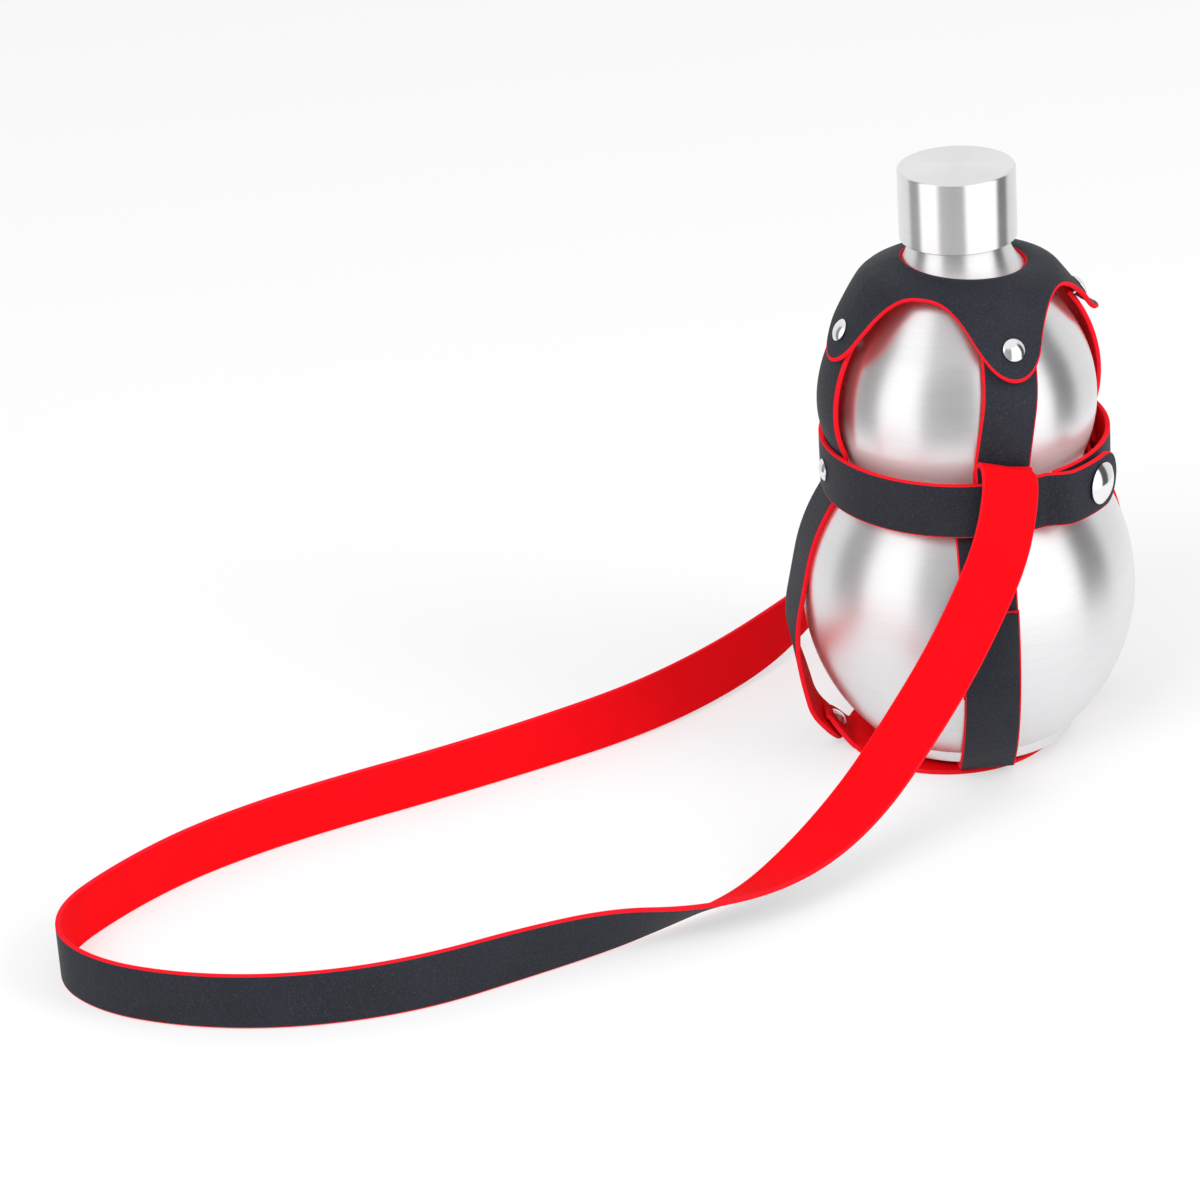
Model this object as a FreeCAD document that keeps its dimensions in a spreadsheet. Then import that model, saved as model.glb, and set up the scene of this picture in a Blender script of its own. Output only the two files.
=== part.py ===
import FreeCAD, Part
import math
import os
import re
import Sketcher

# Gourd water bottle in a leather harness, millimetres.
# Origin on the floor under the bottle's axis, +Z up, the front of the lower harness faces -Y.

SIZES = {
    # Leather
    "leather": 1.8,
    "strap_width": 20.0,
    "strap_gap": 0.4,
    "layer_gap": 0.3,
    "harness_turn": 16.0,
    # Bottle
    "wall": 0.8,
    "foot_radius": 37.0,
    "foot_height": 5.0,
    "foot_wall": 1.2,
    "belly_radius": 60.0,
    "belly_height": 55.0,
    "belly_arc": 70.0,
    "head_radius": 47.5,
    "head_arc": 52.0,
    "waist_fillet": 8.0,
    "waist_depth": 5.22,
    "shoulder_slope": 57.0,
    "neck_radius": 17.5,
    "neck_core": 15.8,
    "neck_bore": 14.0,
    "neck_length": 20.0,
    "neck_flange": 1.2,
    # Thread of neck and cap
    "thread_pitch": 4.0,
    "thread_depth": 1.2,
    "thread_root": 1.6,
    "thread_crest": 0.8,
    "thread_sink": 0.3,
    "thread_gap": 0.5,
    "thread_start": 4.0,
    "neck_thread_rise": 9.0,
    "cap_thread_rise": 7.0,
    # Cap
    "cap_radius": 20.75,
    "cap_height": 26.0,
    "cap_wall": 0.8,
    "cap_edge": 1.0,
    "cap_fit": 0.1,
    "liner_roof": 2.0,
    "liner_lip": 2.5,
    "seal_thickness": 2.0,
    "seal_clearance": 0.4,
    # Collar round the neck
    "collar_room": 3.75,
    "collar_rise": 2.5,
    "collar_gap": 1.7,
    "collar_slope": 30.0,
    "lobe_slope": 54.0,
    "lobe_root_inset": 13.5,
    "lobe_knee_inset": 2.57,
    "lobe_tip_slope": 65.0,
    "lobe_drop": 10.5,
    "lobe_tip": 11.0,
    "lobe_trim": 0.4,
    "scallop_inset": 14.5,
    # Straps
    "strap_overlap": 8.0,
    "strap_bend": 10.0,
    "upper_slack": 4.2,
    "slack_rise": 13.0,
    "slack_run": 12.0,
    "slack_bend": 14.0,
    "lobe_bend": 30.0,
    "strap_top_run": 9.0,
    "slack_leave": 12.0,
    "slack_drop": 12.6,
    "slack_curve": 50.0,
    "slack_knee_inset": 1.7,
    "slack_knee_height": 14.0,
    "slack_knee_bend": 20.0,
    "slack_landing": 1.0,
    "taut_turn": 24.0,
    "taut_tab_top": 52.0,
    "end_step": 0.15,
    "lower_strap_end": 40.0,
    "arm_top": 74.0,
    "arm_bend": 3.0,
    # Belt and its closing tab
    "belt_drop": 8.1,
    "belt_clearance": 0.15,
    "belt_step": 8.0,
    "tab_hinge": 24.0,
    "tab_end": 63.0,
    "tab_cut": 0.5,
    "tab_margin": 3.0,
    "tab_lift": 2.7,
    "belt_end": 38.0,
    # Sole
    "sole_radius": 38.5,
    "sole_shift": 8.0,
    "tab_length": 16.5,
    "sole_bend": 4.5,
    # Rivets
    "rivet_radius": 4.0,
    "rivet_dome": 1.5,
    "rivet_plate": 0.6,
    "rivet_post": 1.5,
    "rivet_clearance": 0.2,
    "tab_rivet": 8.0,
    # Snap fastener
    "snap_angle": 50.0,
    "snap_radius": 7.5,
    "snap_dome": 2.4,
    "snap_rim": 0.5,
    "snap_post": 1.5,
    "socket_radius": 5.0,
    "socket_height": 1.5,
    "socket_wall": 1.6,
    "stud_radius": 2.6,
    "stud_height": 1.2,
    "snap_seat": 0.45,
    # Carry strap
    "fold_radius": 2.4,
    "bend_share": 0.45,
    "section_turn": 12.0,
}

# Carry strap: centre of the band and the direction across it, from the front tail to the back tail.
# The tails and folds at the belt are worked out from the belt, the rest is the lie on the floor.
FREE_ROUTE = [
    ((5.0, -59.5, 98.0), (1.0, -0.1, -0.1)),
    ((-4.0, -66.0, 81.0), (0.9, -0.3, -0.3)),
    ((-17.0, -76.0, 62.0), (0.85, -0.35, -0.4)),
    ((-33.0, -88.0, 44.0), (0.8, -0.5, -0.4)),
    ((-50.0, -100.5, 27.0), (0.75, -0.6, -0.3)),
    ((-70.0, -115.0, 15.0), (0.65, -0.75, -0.05)),
    ((-92.0, -131.0, 9.5), (0.5, -0.8, 0.35)),
    ((-117.0, -142.0, 9.0), (0.25, -0.75, 0.6)),
    ((-145.0, -151.0, 10.3), (0.1, -0.3, 0.95)),
    ((-174.0, -162.0, 10.3), (0.0, -0.1, 1.0)),
    ((-202.0, -174.0, 10.3), (0.0, 0.0, 1.0)),
    ((-230.0, -180.0, 10.3), (0.0, 0.0, 1.0)),
    ((-260.0, -180.0, 10.3), (0.0, 0.0, 1.0)),
    ((-289.0, -173.0, 10.3), (0.0, 0.0, 1.0)),
    ((-314.0, -160.0, 10.3), (0.0, 0.0, 1.0)),
    ((-329.0, -140.0, 10.3), (0.0, 0.0, 1.0)),
    ((-328.0, -117.0, 10.3), (0.0, 0.0, 1.0)),
    ((-312.0, -95.0, 10.3), (0.0, 0.0, 1.0)),
    ((-289.0, -72.0, 10.3), (0.0, 0.0, 1.0)),
    ((-262.0, -54.0, 10.3), (0.0, 0.0, 1.0)),
    ((-232.0, -39.0, 10.3), (0.0, 0.0, 1.0)),
    ((-197.0, -24.0, 10.3), (0.0, 0.0, 1.0)),
    ((-160.0, -6.0, 10.3), (0.0, 0.0, 1.0)),
    ((-124.0, 14.0, 10.3), (0.0, 0.0, 1.0)),
    ((-97.0, 35.0, 10.6), (0.05, -0.05, 1.0)),
    ((-73.0, 58.0, 12.0), (0.2, -0.2, 0.95)),
    ((-52.0, 79.0, 17.0), (0.4, -0.35, 0.85)),
    ((-34.0, 92.0, 28.0), (0.65, -0.4, 0.65)),
    ((-20.0, 94.0, 45.0), (0.85, -0.25, 0.45)),
    ((-12.0, 86.0, 66.0), (0.95, -0.1, 0.2)),
    ((-9.0, 74.0, 86.0), (1.0, 0.0, 0.05)),
    ((-8.0, 62.5, 104.0), (1.0, 0.0, 0.0)),
]

os.makedirs("parts", exist_ok=True)
doc = FreeCAD.newDocument("gourd_bottle")
Vector = FreeCAD.Vector
# Distance under which two points count as one
TOUCH = 1e-6
UP = Vector(0, 0, 1)

sheet = doc.addObject("Spreadsheet::Sheet", "sizes")
for row, (alias, number) in enumerate(SIZES.items(), start=1):
    sheet.set(f"A{row}", alias)
    sheet.set(f"B{row}", str(number))
    sheet.setAlias(f"B{row}", alias)
doc.recompute()


def size(text):
    """Number that a sum or product of the sheet's sizes gives."""
    return float(sheet.evalExpression(text))


def bind(target, path, text):
    """Tie one property to the sheet."""
    names = "|".join(sorted(SIZES, key=len, reverse=True))
    target.setExpression(path, re.sub(rf"\b({names})\b", r"sizes.\1", text))


def number_of(entry):
    """Value of an outline entry, which is a number or an expression."""
    return size(entry) if isinstance(entry, str) else entry


# Places that several pieces share

leather = size("leather")
wall = size("wall")
half_width = size("strap_width") / 2
seat = 2 * leather
foot_top = seat + size("foot_height")
belly_z = seat + size("belly_height")
belly_centre = Vector(size("belly_radius - belly_arc"), 0, belly_z)


def waist_centre():
    """Centre of the waist's hollow arc, which touches the belly's arc and lies inside the head's side."""
    across = size("head_radius - waist_depth + waist_fillet") - belly_centre.x
    reach = size("belly_arc + waist_fillet")
    return Vector(belly_centre.x + across, 0, belly_z + math.sqrt(reach ** 2 - across ** 2))


waist = waist_centre()
waist_radius = waist.x - size("waist_fillet")
head_z = waist.z + math.sqrt(size("head_radius + waist_fillet") ** 2 - waist.x ** 2)
head_centre = Vector(0, 0, head_z)
shoulder_centre = Vector(size("head_radius - head_arc"), 0, head_z)
slope = math.radians(size("shoulder_slope"))
shoulder_out = Vector(math.sin(slope), 0, math.cos(slope))
shoulder_start = shoulder_centre + shoulder_out * size("head_arc")
neck_z = shoulder_start.z + (shoulder_start.x - size("neck_radius")) * math.tan(slope)
rim_z = neck_z + size("neck_length")
cap_top = rim_z + size("seal_thickness + liner_roof + cap_wall")
cap_bottom = cap_top - size("cap_height")
upper_turn = size("harness_turn")
rivet_turn = upper_turn / 2
belt_low = waist.z - size("belt_drop")
belt_high = belt_low + size("strap_width")
belt_middle = (belt_low + belt_high) / 2
tail_low = belt_middle - size("strap_overlap") / 2
head_top = belt_middle + size("strap_overlap") / 2

# Layers of leather at the belt, counted outwards from the waist, as middles of the bands
tail_middle = size("head_radius + strap_gap") + leather / 2
lower_middle = tail_middle - leather - size("layer_gap")
carry_middle = tail_middle + leather + size("layer_gap")


def belt_reach(middle):
    """Radius outside the corners of a flat band with its middle at the given distance."""
    return math.hypot(middle + leather / 2, half_width) + size("belt_clearance")


belt_side = tail_middle + leather / 2 + size("belt_clearance")
belt_front = belt_reach(carry_middle)


# Building blocks

def outline(body, corners):
    """Closed sketch in the upright plane. A corner is (across, up, radius): the radius is that of the
    arc to the next corner, with its centre on the left of travel, or on the right where the entry is a
    pair that starts with 'right', and None for a straight line."""
    sketch = body.newObject("Sketcher::SketchObject", body.Label + "_outline")
    plane = [part for part in body.Origin.OriginFeatures if part.Role == "XZ_Plane"][0]
    sketch.AttachmentSupport = (plane, [""])
    sketch.MapMode = "FlatFace"
    spots = [Vector(number_of(corner[0]), number_of(corner[1]), 0) for corner in corners]
    starts = []
    for index, corner in enumerate(corners):
        here = spots[index]
        there = spots[(index + 1) % len(spots)]
        if corner[2] is None:
            sketch.addGeometry(Part.LineSegment(here, there))
            starts.append((1, 2))
            continue
        right = isinstance(corner[2], tuple)
        entry = corner[2][1] if right else corner[2]
        radius = number_of(entry)
        step = there - here
        left = Vector(-step.y, step.x, 0) / step.Length
        aside = math.sqrt(radius ** 2 - step.Length ** 2 / 4) * (-1 if right else 1)
        centre = (here + there) / 2 + left * aside
        first, last = (there, here) if right else (here, there)
        begin = math.atan2(first.y - centre.y, first.x - centre.x)
        end = math.atan2(last.y - centre.y, last.x - centre.x)
        circle = Part.Circle(centre, Vector(0, 0, 1), radius)
        sketch.addGeometry(Part.ArcOfCircle(circle, begin, end))
        starts.append((2, 1) if right else (1, 2))
        number = sketch.addConstraint(Sketcher.Constraint("Radius", index, radius))
        if isinstance(entry, str):
            bind(sketch, f"Constraints[{number}]", entry)
    for index, corner in enumerate(corners):
        after = (index + 1) % len(corners)
        joined = Sketcher.Constraint("Coincident", index, starts[index][1], after, starts[after][0])
        sketch.addConstraint(joined)
        for name, axis, entry in (("DistanceX", -2, corner[0]), ("DistanceY", -1, corner[1])):
            if number_of(entry) == 0:
                sketch.addConstraint(Sketcher.Constraint("PointOnObject", index, starts[index][0], axis))
                continue
            place = Sketcher.Constraint(name, -1, 1, index, starts[index][0], number_of(entry))
            number = sketch.addConstraint(place)
            if isinstance(entry, str):
                bind(sketch, f"Constraints[{number}]", entry)
    return sketch


def turned(label, corners):
    """Body turned about +Z from an outline in the upright plane."""
    body = doc.addObject("PartDesign::Body", label)
    sketch = outline(body, corners)
    turn = body.newObject("PartDesign::Revolution", label + "_turn")
    turn.Profile = sketch
    turn.ReferenceAxis = (sketch, ["V_Axis"])
    turn.Angle = 360
    doc.recompute()
    return body


def threaded(body, radius, outwards, start, rise):
    """Add one right-handed ridge of trapezium section that climbs by the rise."""
    sunk = radius - outwards * size("thread_sink")
    crest = radius + outwards * size("thread_depth")
    root_half = size("thread_root") / 2
    crest_half = size("thread_crest") / 2
    corners = [
        (sunk, start - root_half, None),
        (crest, start - crest_half, None),
        (crest, start + crest_half, None),
        (sunk, start + root_half, None),
    ]
    sketch = outline(body, corners if outwards > 0 else corners[::-1])
    ridge = body.newObject("PartDesign::AdditiveHelix", body.Label + "_ridge")
    ridge.Profile = sketch
    ridge.ReferenceAxis = (sketch, ["V_Axis"])
    ridge.Mode = "pitch-height-angle"
    ridge.Height = rise
    bind(ridge, "Pitch", "thread_pitch")
    doc.recompute()
    return body


def piece(label, shape):
    """Object that holds a finished shape."""
    holder = doc.addObject("Part::Feature", label)
    holder.Shape = shape
    return holder


def course(points, radii):
    """Stations of a path of straight runs and tangent arcs. Each entry is a list of two stations, for a
    run, or three, for an arc, and a station is a point with the arc's centre or the run's left normal."""
    pieces = []
    here = points[0]
    for index in range(1, len(points)):
        corner = points[index]
        if index == len(points) - 1:
            if (corner - here).Length > TOUCH:
                pieces.append(("run", here, corner))
            break
        ahead = (corner - here).normalize()
        onward = (points[index + 1] - corner).normalize()
        turn = ahead.getAngle(onward)
        reach = radii[index - 1] * math.tan(turn / 2)
        entry = corner - ahead * reach
        leave = corner + onward * reach
        inwards = (onward - ahead).normalize()
        centre = corner + inwards * (radii[index - 1] / math.cos(turn / 2))
        middle = centre - inwards * radii[index - 1]
        if (entry - here).Length > TOUCH:
            pieces.append(("run", here, entry))
        pieces.append(("arc", entry, middle, leave, centre))
        here = leave
    return pieces


def band_face(points, radii):
    """Face of a leather band seen on edge: the path thickened by half the leather to each side."""
    sides = {1: [], -1: []}
    for kind, *spots in course(points, radii):
        for side, edges in sides.items():
            shift = side * leather / 2
            if kind == "run":
                ahead = (spots[1] - spots[0]).normalize()
                normal = Vector(-ahead.z, 0, ahead.x) * shift
                if (spots[1] - spots[0]).Length > TOUCH:
                    edges.append(Part.LineSegment(spots[0] + normal, spots[1] + normal).toShape())
                continue
            centre = spots[3]
            chord = spots[2] - spots[0]
            left = Vector(-chord.z, 0, chord.x)
            away = 1 if left.dot(spots[1] - centre) > 0 else -1
            moved = [spot + (spot - centre).normalize() * shift * away for spot in spots[:3]]
            edges.append(Part.Arc(*moved).toShape())
    first = [edges[0].Vertexes[0].Point for edges in sides.values()]
    last = [edges[-1].Vertexes[-1].Point for edges in sides.values()]
    ends = [Part.makeLine(*first), Part.makeLine(*last)]
    wire = Part.Wire(Part.__sortEdges__(sides[1] + sides[-1] + ends))
    return Part.Face(wire)


def band(points, radii):
    """Leather strap of full width along a path in the XZ plane, centred on that plane."""
    face = band_face(points, radii)
    face.translate(Vector(0, -half_width, 0))
    return face.extrude(Vector(0, size("strap_width"), 0))


def strap_stations(points, radii):
    """Sections along the runs and arcs, as point, direction and length so far, and each corner's length."""
    stations = []
    corner_lengths = [0.0]
    length = 0.0
    for kind, *spots in course(points, radii):
        if kind == "run":
            ahead = (spots[1] - spots[0]).normalize()
            stations.append((spots[0], ahead, length))
            length += (spots[1] - spots[0]).Length
            stations.append((spots[1], ahead, length))
            continue
        centre = spots[3]
        begin = spots[0] - centre
        turn = begin.getAngle(spots[2] - centre)
        axis = begin.cross(spots[2] - centre).normalize()
        steps = max(2, math.ceil(math.degrees(turn) / size("section_turn")))
        for step in range(1, steps):
            arm = FreeCAD.Rotation(axis, math.degrees(turn) * step / steps).multVec(begin)
            ahead = axis.cross(arm).normalize()
            stations.append((centre + arm, ahead, length + turn * begin.Length * step / steps))
        corner_lengths.append(length + turn * begin.Length / 2)
        length += turn * begin.Length
    corner_lengths.append(length)
    return stations, corner_lengths


def across_at(route, corner_lengths, length):
    """Direction across the band at a length, blended between the two nearest route points."""
    leg = 0
    while leg < len(route) - 2 and length > corner_lengths[leg + 1]:
        leg += 1
    share = (length - corner_lengths[leg]) / (corner_lengths[leg + 1] - corner_lengths[leg])
    return route[leg][1] * (1 - share) + route[leg + 1][1] * share


def ribbon(route, radii):
    """Ruled band through points with their directions across the band, which turn smoothly between them.
    Gives the solid and its length."""
    stations, corner_lengths = strap_stations([spot for spot, across in route], radii)
    sections = []
    for spot, ahead, length in stations:
        across = across_at(route, corner_lengths, length)
        across = (across - ahead * across.dot(ahead)).normalize() * half_width
        through = ahead.cross(across).normalize() * (leather / 2)
        upper = [spot + across + through, spot - across + through]
        lower = [spot - across - through, spot + across - through]
        sections.append(Part.makePolygon(upper + lower + upper[:1]))
    return Part.makeLoft(sections, True, True), corner_lengths[-1]


def to_azimuth(shape, angle):
    """Copy of a shape drawn towards +X, turned to an azimuth counted from -Y towards +X."""
    copy = shape.copy()
    copy.rotate(Vector(0, 0, 0), UP, angle - 90)
    return copy


def radial(azimuth):
    """Level direction at an azimuth counted from -Y towards +X."""
    angle = math.radians(azimuth)
    return Vector(math.sin(angle), -math.cos(angle), 0)


def shank(start, direction, radius, length):
    """Round bar from a point."""
    return Part.makeCylinder(radius, length, start, direction)


def domed(radius, height, rim):
    """Low dome on a short straight rim, with its flat side on the XY plane."""
    ball = (radius ** 2 + height ** 2) / (2 * height)
    half = math.asin(radius / ball) / 2
    middle = Vector(ball * math.sin(half), 0, rim + height - ball + ball * math.cos(half))
    arc = Part.Arc(Vector(radius, 0, rim), middle, Vector(0, 0, rim + height))
    sides = [Vector(0, 0, rim + height), Vector(0, 0, 0), Vector(radius, 0, 0), Vector(radius, 0, rim)]
    lines = [Part.makeLine(sides[index], sides[index + 1]) for index in range(3)]
    return Part.Face(Part.Wire(lines + [arc.toShape()])).revolve(Vector(0, 0, 0), UP, 360)


def placed(shape, start, direction):
    """Copy of a shape made along +Z, put at a point and along a direction."""
    copy = shape.copy()
    copy.Placement = FreeCAD.Placement(start, FreeCAD.Rotation(UP, direction))
    return copy


def rivet(start, direction, grip):
    """One double-headed rivet: a plate, a post and a dome, with the plate's outer face at the start."""
    plate = size("rivet_plate")
    base = Part.makeCylinder(size("rivet_radius"), plate)
    post = Part.makeCylinder(size("rivet_post"), plate + grip)
    dome = domed(size("rivet_radius"), size("rivet_dome"), size("snap_rim"))
    dome.translate(Vector(0, 0, plate + grip))
    return placed(base.fuse([post, dome]).removeSplitter(), start, direction)


def rivet_hole(start, direction, length):
    """Clearance round a rivet's post."""
    return shank(start, direction, size("rivet_post + rivet_clearance"), length)


# Steel bottle: two drawn shells joined at the waist, a foot ring and a threaded neck

def belly_spot(inset):
    """Point where the belly's arc meets the waist's hollow, on the wall's outer or inner face."""
    return belly_centre + (waist - belly_centre).normalize() * (size("belly_arc") - inset)


def head_spot(inset):
    """Point where the head's sphere meets the waist's hollow, on the wall's outer or inner face."""
    return head_centre + (waist - head_centre).normalize() * (size("head_radius") - inset)


def bottom_radius(height, inset):
    """Radius of the belly's arc at a height below its middle."""
    return belly_centre.x + math.sqrt((size("belly_arc") - inset) ** 2 - (belly_z - height) ** 2)


def lower_shell():
    """Belly with its floor, up to the seam at the waist."""
    floor_z = foot_top + wall
    corners = [
        (0, foot_top, None),
        (bottom_radius(foot_top, 0), foot_top, "belly_arc"),
        (belly_spot(0).x, belly_spot(0).z, ("right", "waist_fillet")),
        (waist_radius, waist.z, None),
        (waist_radius - wall, waist.z, "waist_fillet + wall"),
        (belly_spot(wall).x, belly_spot(wall).z, ("right", "belly_arc - wall")),
        (bottom_radius(floor_z, wall), floor_z, None),
        (0, floor_z, None),
    ]
    return turned("lower_shell", corners)


def upper_shell():
    """Head and shoulder, from the seam at the waist to the neck."""
    inner_start = shoulder_centre + shoulder_out * size("head_arc - wall")
    corners = [
        (waist_radius, waist.z, ("right", "waist_fillet")),
        (head_spot(0).x, head_spot(0).z, "head_radius"),
        ("head_radius", head_z, "head_arc"),
        (shoulder_start.x, shoulder_start.z, None),
        ("neck_radius", neck_z, None),
        (size("neck_radius") - wall / math.sin(slope), neck_z, None),
        (inner_start.x, inner_start.z, ("right", "head_arc - wall")),
        ("head_radius - wall", head_z, ("right", "head_radius - wall")),
        (head_spot(wall).x, head_spot(wall).z, "waist_fillet + wall"),
        (waist_radius - wall, waist.z, None),
    ]
    return turned("upper_shell", corners)


def foot_ring():
    """Plain ring under the belly."""
    corners = [
        ("foot_radius - foot_wall", seat, None),
        ("foot_radius", seat, None),
        ("foot_radius", foot_top, None),
        ("foot_radius - foot_wall", foot_top, None),
    ]
    return turned("foot_ring", corners)


def neck_ring():
    """Mouth of the bottle, with its outer thread."""
    flange_z = neck_z + size("neck_flange")
    corners = [
        ("neck_bore", neck_z, None),
        ("neck_radius", neck_z, None),
        ("neck_radius", flange_z, None),
        ("neck_core", flange_z, None),
        ("neck_core", rim_z, None),
        ("neck_bore", rim_z, None),
    ]
    body = turned("neck_ring", corners)
    return threaded(body, size("neck_core"), 1, neck_z + size("thread_start"), size("neck_thread_rise"))


lower_shell()
upper_shell()
foot_ring()
neck_ring()


# Screw cap: steel shell, threaded liner and seal

def cap_shell():
    """Thin steel cup with a rounded top edge."""
    edge = size("cap_edge")
    inner_edge = max(edge - size("cap_wall"), size("cap_fit"))
    roof = cap_top - size("cap_wall")
    inner = size("cap_radius - cap_wall")
    corners = [
        (0, cap_top, None),
        (0, roof, None),
        (inner - inner_edge, roof, ("right", inner_edge)),
        (inner, roof - inner_edge, None),
        (inner, cap_bottom, None),
        ("cap_radius", cap_bottom, None),
        ("cap_radius", cap_top - edge, edge),
        (size("cap_radius") - edge, cap_top, None),
    ]
    return turned("cap_shell", corners)


def cap_liner():
    """Plastic cup pressed into the shell, with an inner thread between the neck's turns."""
    roof = cap_top - size("cap_wall")
    lip = cap_bottom + size("liner_lip")
    outer = size("cap_radius - cap_wall - cap_fit")
    core = size("neck_core + thread_depth + thread_gap")
    corner = size("cap_edge")
    corners = [
        (0, roof, None),
        (0, roof - size("liner_roof"), None),
        (core, roof - size("liner_roof"), None),
        (core, lip, None),
        (outer, lip, None),
        (outer, roof - corner, None),
        (outer - corner, roof, None),
    ]
    body = turned("cap_liner", corners)
    start = neck_z + size("thread_start + thread_pitch / 2")
    return threaded(body, core, -1, start, size("cap_thread_rise"))


def cap_seal():
    """Flat silicone disc between the neck's rim and the liner's roof."""
    reach = size("neck_core + thread_depth + thread_gap - seal_clearance")
    corners = [
        (0, rim_z, None),
        (reach, rim_z, None),
        (reach, rim_z + size("seal_thickness"), None),
        (0, rim_z + size("seal_thickness"), None),
    ]
    return turned("cap_seal", corners)


cap_shell()
cap_liner()
cap_seal()


# Leather harness: collar, straps, belt and sole

quarters = (0, 90, 180, 270)
quarter_names = ("front", "right", "back", "left")
taut_azimuth = 90 + size("taut_turn")
lower_azimuths = (0, taut_azimuth, 180, 270)


def downhill(angle):
    """Direction down and outwards at a slope in degrees."""
    return Vector(math.cos(math.radians(angle)), 0, -math.sin(math.radians(angle)))


# The collar's middle line from its hole to a lobe's tip, and the straps' line under it
collar_rim = Vector(size("cap_radius + collar_room"), 0, 0)
collar_rim.z = shoulder_start.z + (shoulder_start.x - collar_rim.x) * math.tan(slope) + size("collar_rise")
lobe_root = collar_rim + downhill(size("collar_slope")) * (
    (size("head_radius - lobe_root_inset") - collar_rim.x) / math.cos(math.radians(size("collar_slope"))))
lobe_knee = lobe_root + downhill(size("lobe_slope")) * (
    size("lobe_root_inset - lobe_knee_inset") / math.cos(math.radians(size("lobe_slope"))))
lobe_end = lobe_knee + downhill(size("lobe_tip_slope")) * size("lobe_drop")
lobe_angle = math.radians(size("lobe_slope + lobe_tip_slope")) / 2
lobe_out = Vector(math.sin(lobe_angle), 0, math.cos(lobe_angle))
half_bend = math.radians(size("lobe_tip_slope - lobe_slope")) / 2
strap_knee = lobe_knee - lobe_out * ((leather + size("collar_gap")) / math.cos(half_bend))
strap_top = strap_knee - downhill(size("lobe_slope")) * size("strap_top_run")


def curved_end(middle, low, high):
    """End of a strap that curves round the waist under the belt."""
    swing = math.degrees(2 * math.asin(half_width / middle))
    ring = Part.makeCylinder(middle + leather / 2, high - low, Vector(0, 0, low), UP, swing)
    ring = ring.cut(Part.makeCylinder(middle - leather / 2, high - low, Vector(0, 0, low)))
    ring.rotate(Vector(0, 0, 0), UP, -swing / 2)
    return ring


def upper_strap_shape(slack):
    """Strap from under the belt to under the collar, drawn towards -Y. It leans aside on its way up, and
    a slack one bows out above the belt."""
    bowed = tail_middle + slack
    along = downhill(size("lobe_tip_slope"))
    meeting = strap_knee + along * ((bowed - strap_knee.x) / along.x)
    line = [Vector(tail_middle, 0, belt_high + leather)]
    radii = []
    if slack:
        line.append(Vector(tail_middle, 0, belt_high + 3 * leather))
        line.append(Vector(bowed, 0, belt_high + size("slack_rise")))
        radii = [size("slack_run"), size("slack_run")]
    line = line + [meeting, strap_knee, strap_top]
    radii = radii + [size("slack_bend") if slack else size("lobe_bend"), size("lobe_bend")]
    route = []
    for spot in line:
        share = min((spot.z - belt_high) / (strap_knee.z - belt_high), 1)
        out = radial(rivet_turn + (upper_turn - rivet_turn) * share)
        route.append((out * spot.x + UP * spot.z, Vector(-out.y, out.x, 0)))
    tail = curved_end(tail_middle - size("end_step"), tail_low, belt_high + 2 * leather)
    return ribbon(route, radii)[0].fuse(to_azimuth(tail, rivet_turn))


def lower_strap_corner():
    """Corner of the lower strap's path under the belt, for a bend that touches the belly's arc."""
    arc = size("belly_arc + strap_gap") + leather / 2
    bend = size("strap_bend")
    centre_x = lower_middle + bend
    centre_z = belly_z + math.sqrt((arc + bend) ** 2 - (centre_x - belly_centre.x) ** 2)
    away = Vector(centre_x - belly_centre.x, 0, centre_z - belly_z).normalize()
    turn = math.asin(away.z)
    return Vector(lower_middle, 0, centre_z - bend * math.tan(turn / 2)), centre_z, arc, turn


def hugging_line(leave):
    """Points and radii of a strap's path from under the belt along the belly's arc, and the place and the
    direction where it leaves the arc at an angle above the belly's middle."""
    corner, bend_top, arc, turn = lower_strap_corner()
    middle = (turn + leave) / 2
    belly_corner = Vector(math.cos(middle), 0, math.sin(middle)) * (arc / math.cos((turn - leave) / 2))
    end = belly_centre + Vector(math.cos(leave), 0, math.sin(leave)) * arc
    start = Vector(lower_middle, 0, bend_top + size("end_step"))
    points = [start, corner, belly_centre + belly_corner]
    return points, [size("strap_bend"), arc], end, Vector(math.sin(leave), 0, -math.cos(leave))


def lower_strap(points, radii):
    """Strap along a path, with its head that curves round the waist under the belt."""
    bend_top = lower_strap_corner()[1]
    head = curved_end(lower_middle - size("end_step"), bend_top - size("end_step"), head_top)
    return band(points, radii).fuse(head)


def snug_strap_shape():
    """Front, right and back strap, which lies on the belly and ends under an arm of the sole."""
    arc = size("belly_arc + strap_gap") + leather / 2
    points, radii, end, heading = hugging_line(math.asin((size("lower_strap_end") - belly_z) / arc))
    return lower_strap(points + [end], radii)


slack_landing = size("sole_radius + sole_shift + slack_landing")
slack_foot = Vector(slack_landing, 0, leather / 2 + size("strap_gap"))
slack_knee = Vector(size("belly_radius - slack_knee_inset"), 0, size("slack_knee_height"))


def slack_strap_shape():
    """Left strap, which leaves the belly half way down and lands beside the sole."""
    points, radii, end, heading = hugging_line(math.radians(size("slack_leave")))
    out = end + heading * ((end.z - belly_z + size("slack_drop")) / -heading.z)
    bends = [size("slack_curve"), size("slack_knee_bend")]
    return lower_strap(points + [out, slack_knee, slack_foot], radii + bends)


def sole_tab_line():
    """Start on the floor, direction and inward normal of the sole's tab inside the slack strap."""
    ahead = (slack_knee - slack_foot).normalize()
    inwards = Vector(-ahead.z, 0, ahead.x)
    line = slack_foot + inwards * (leather + size("layer_gap"))
    start = line + ahead * ((leather / 2 - line.z) / ahead.z)
    return start, ahead, inwards


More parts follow.
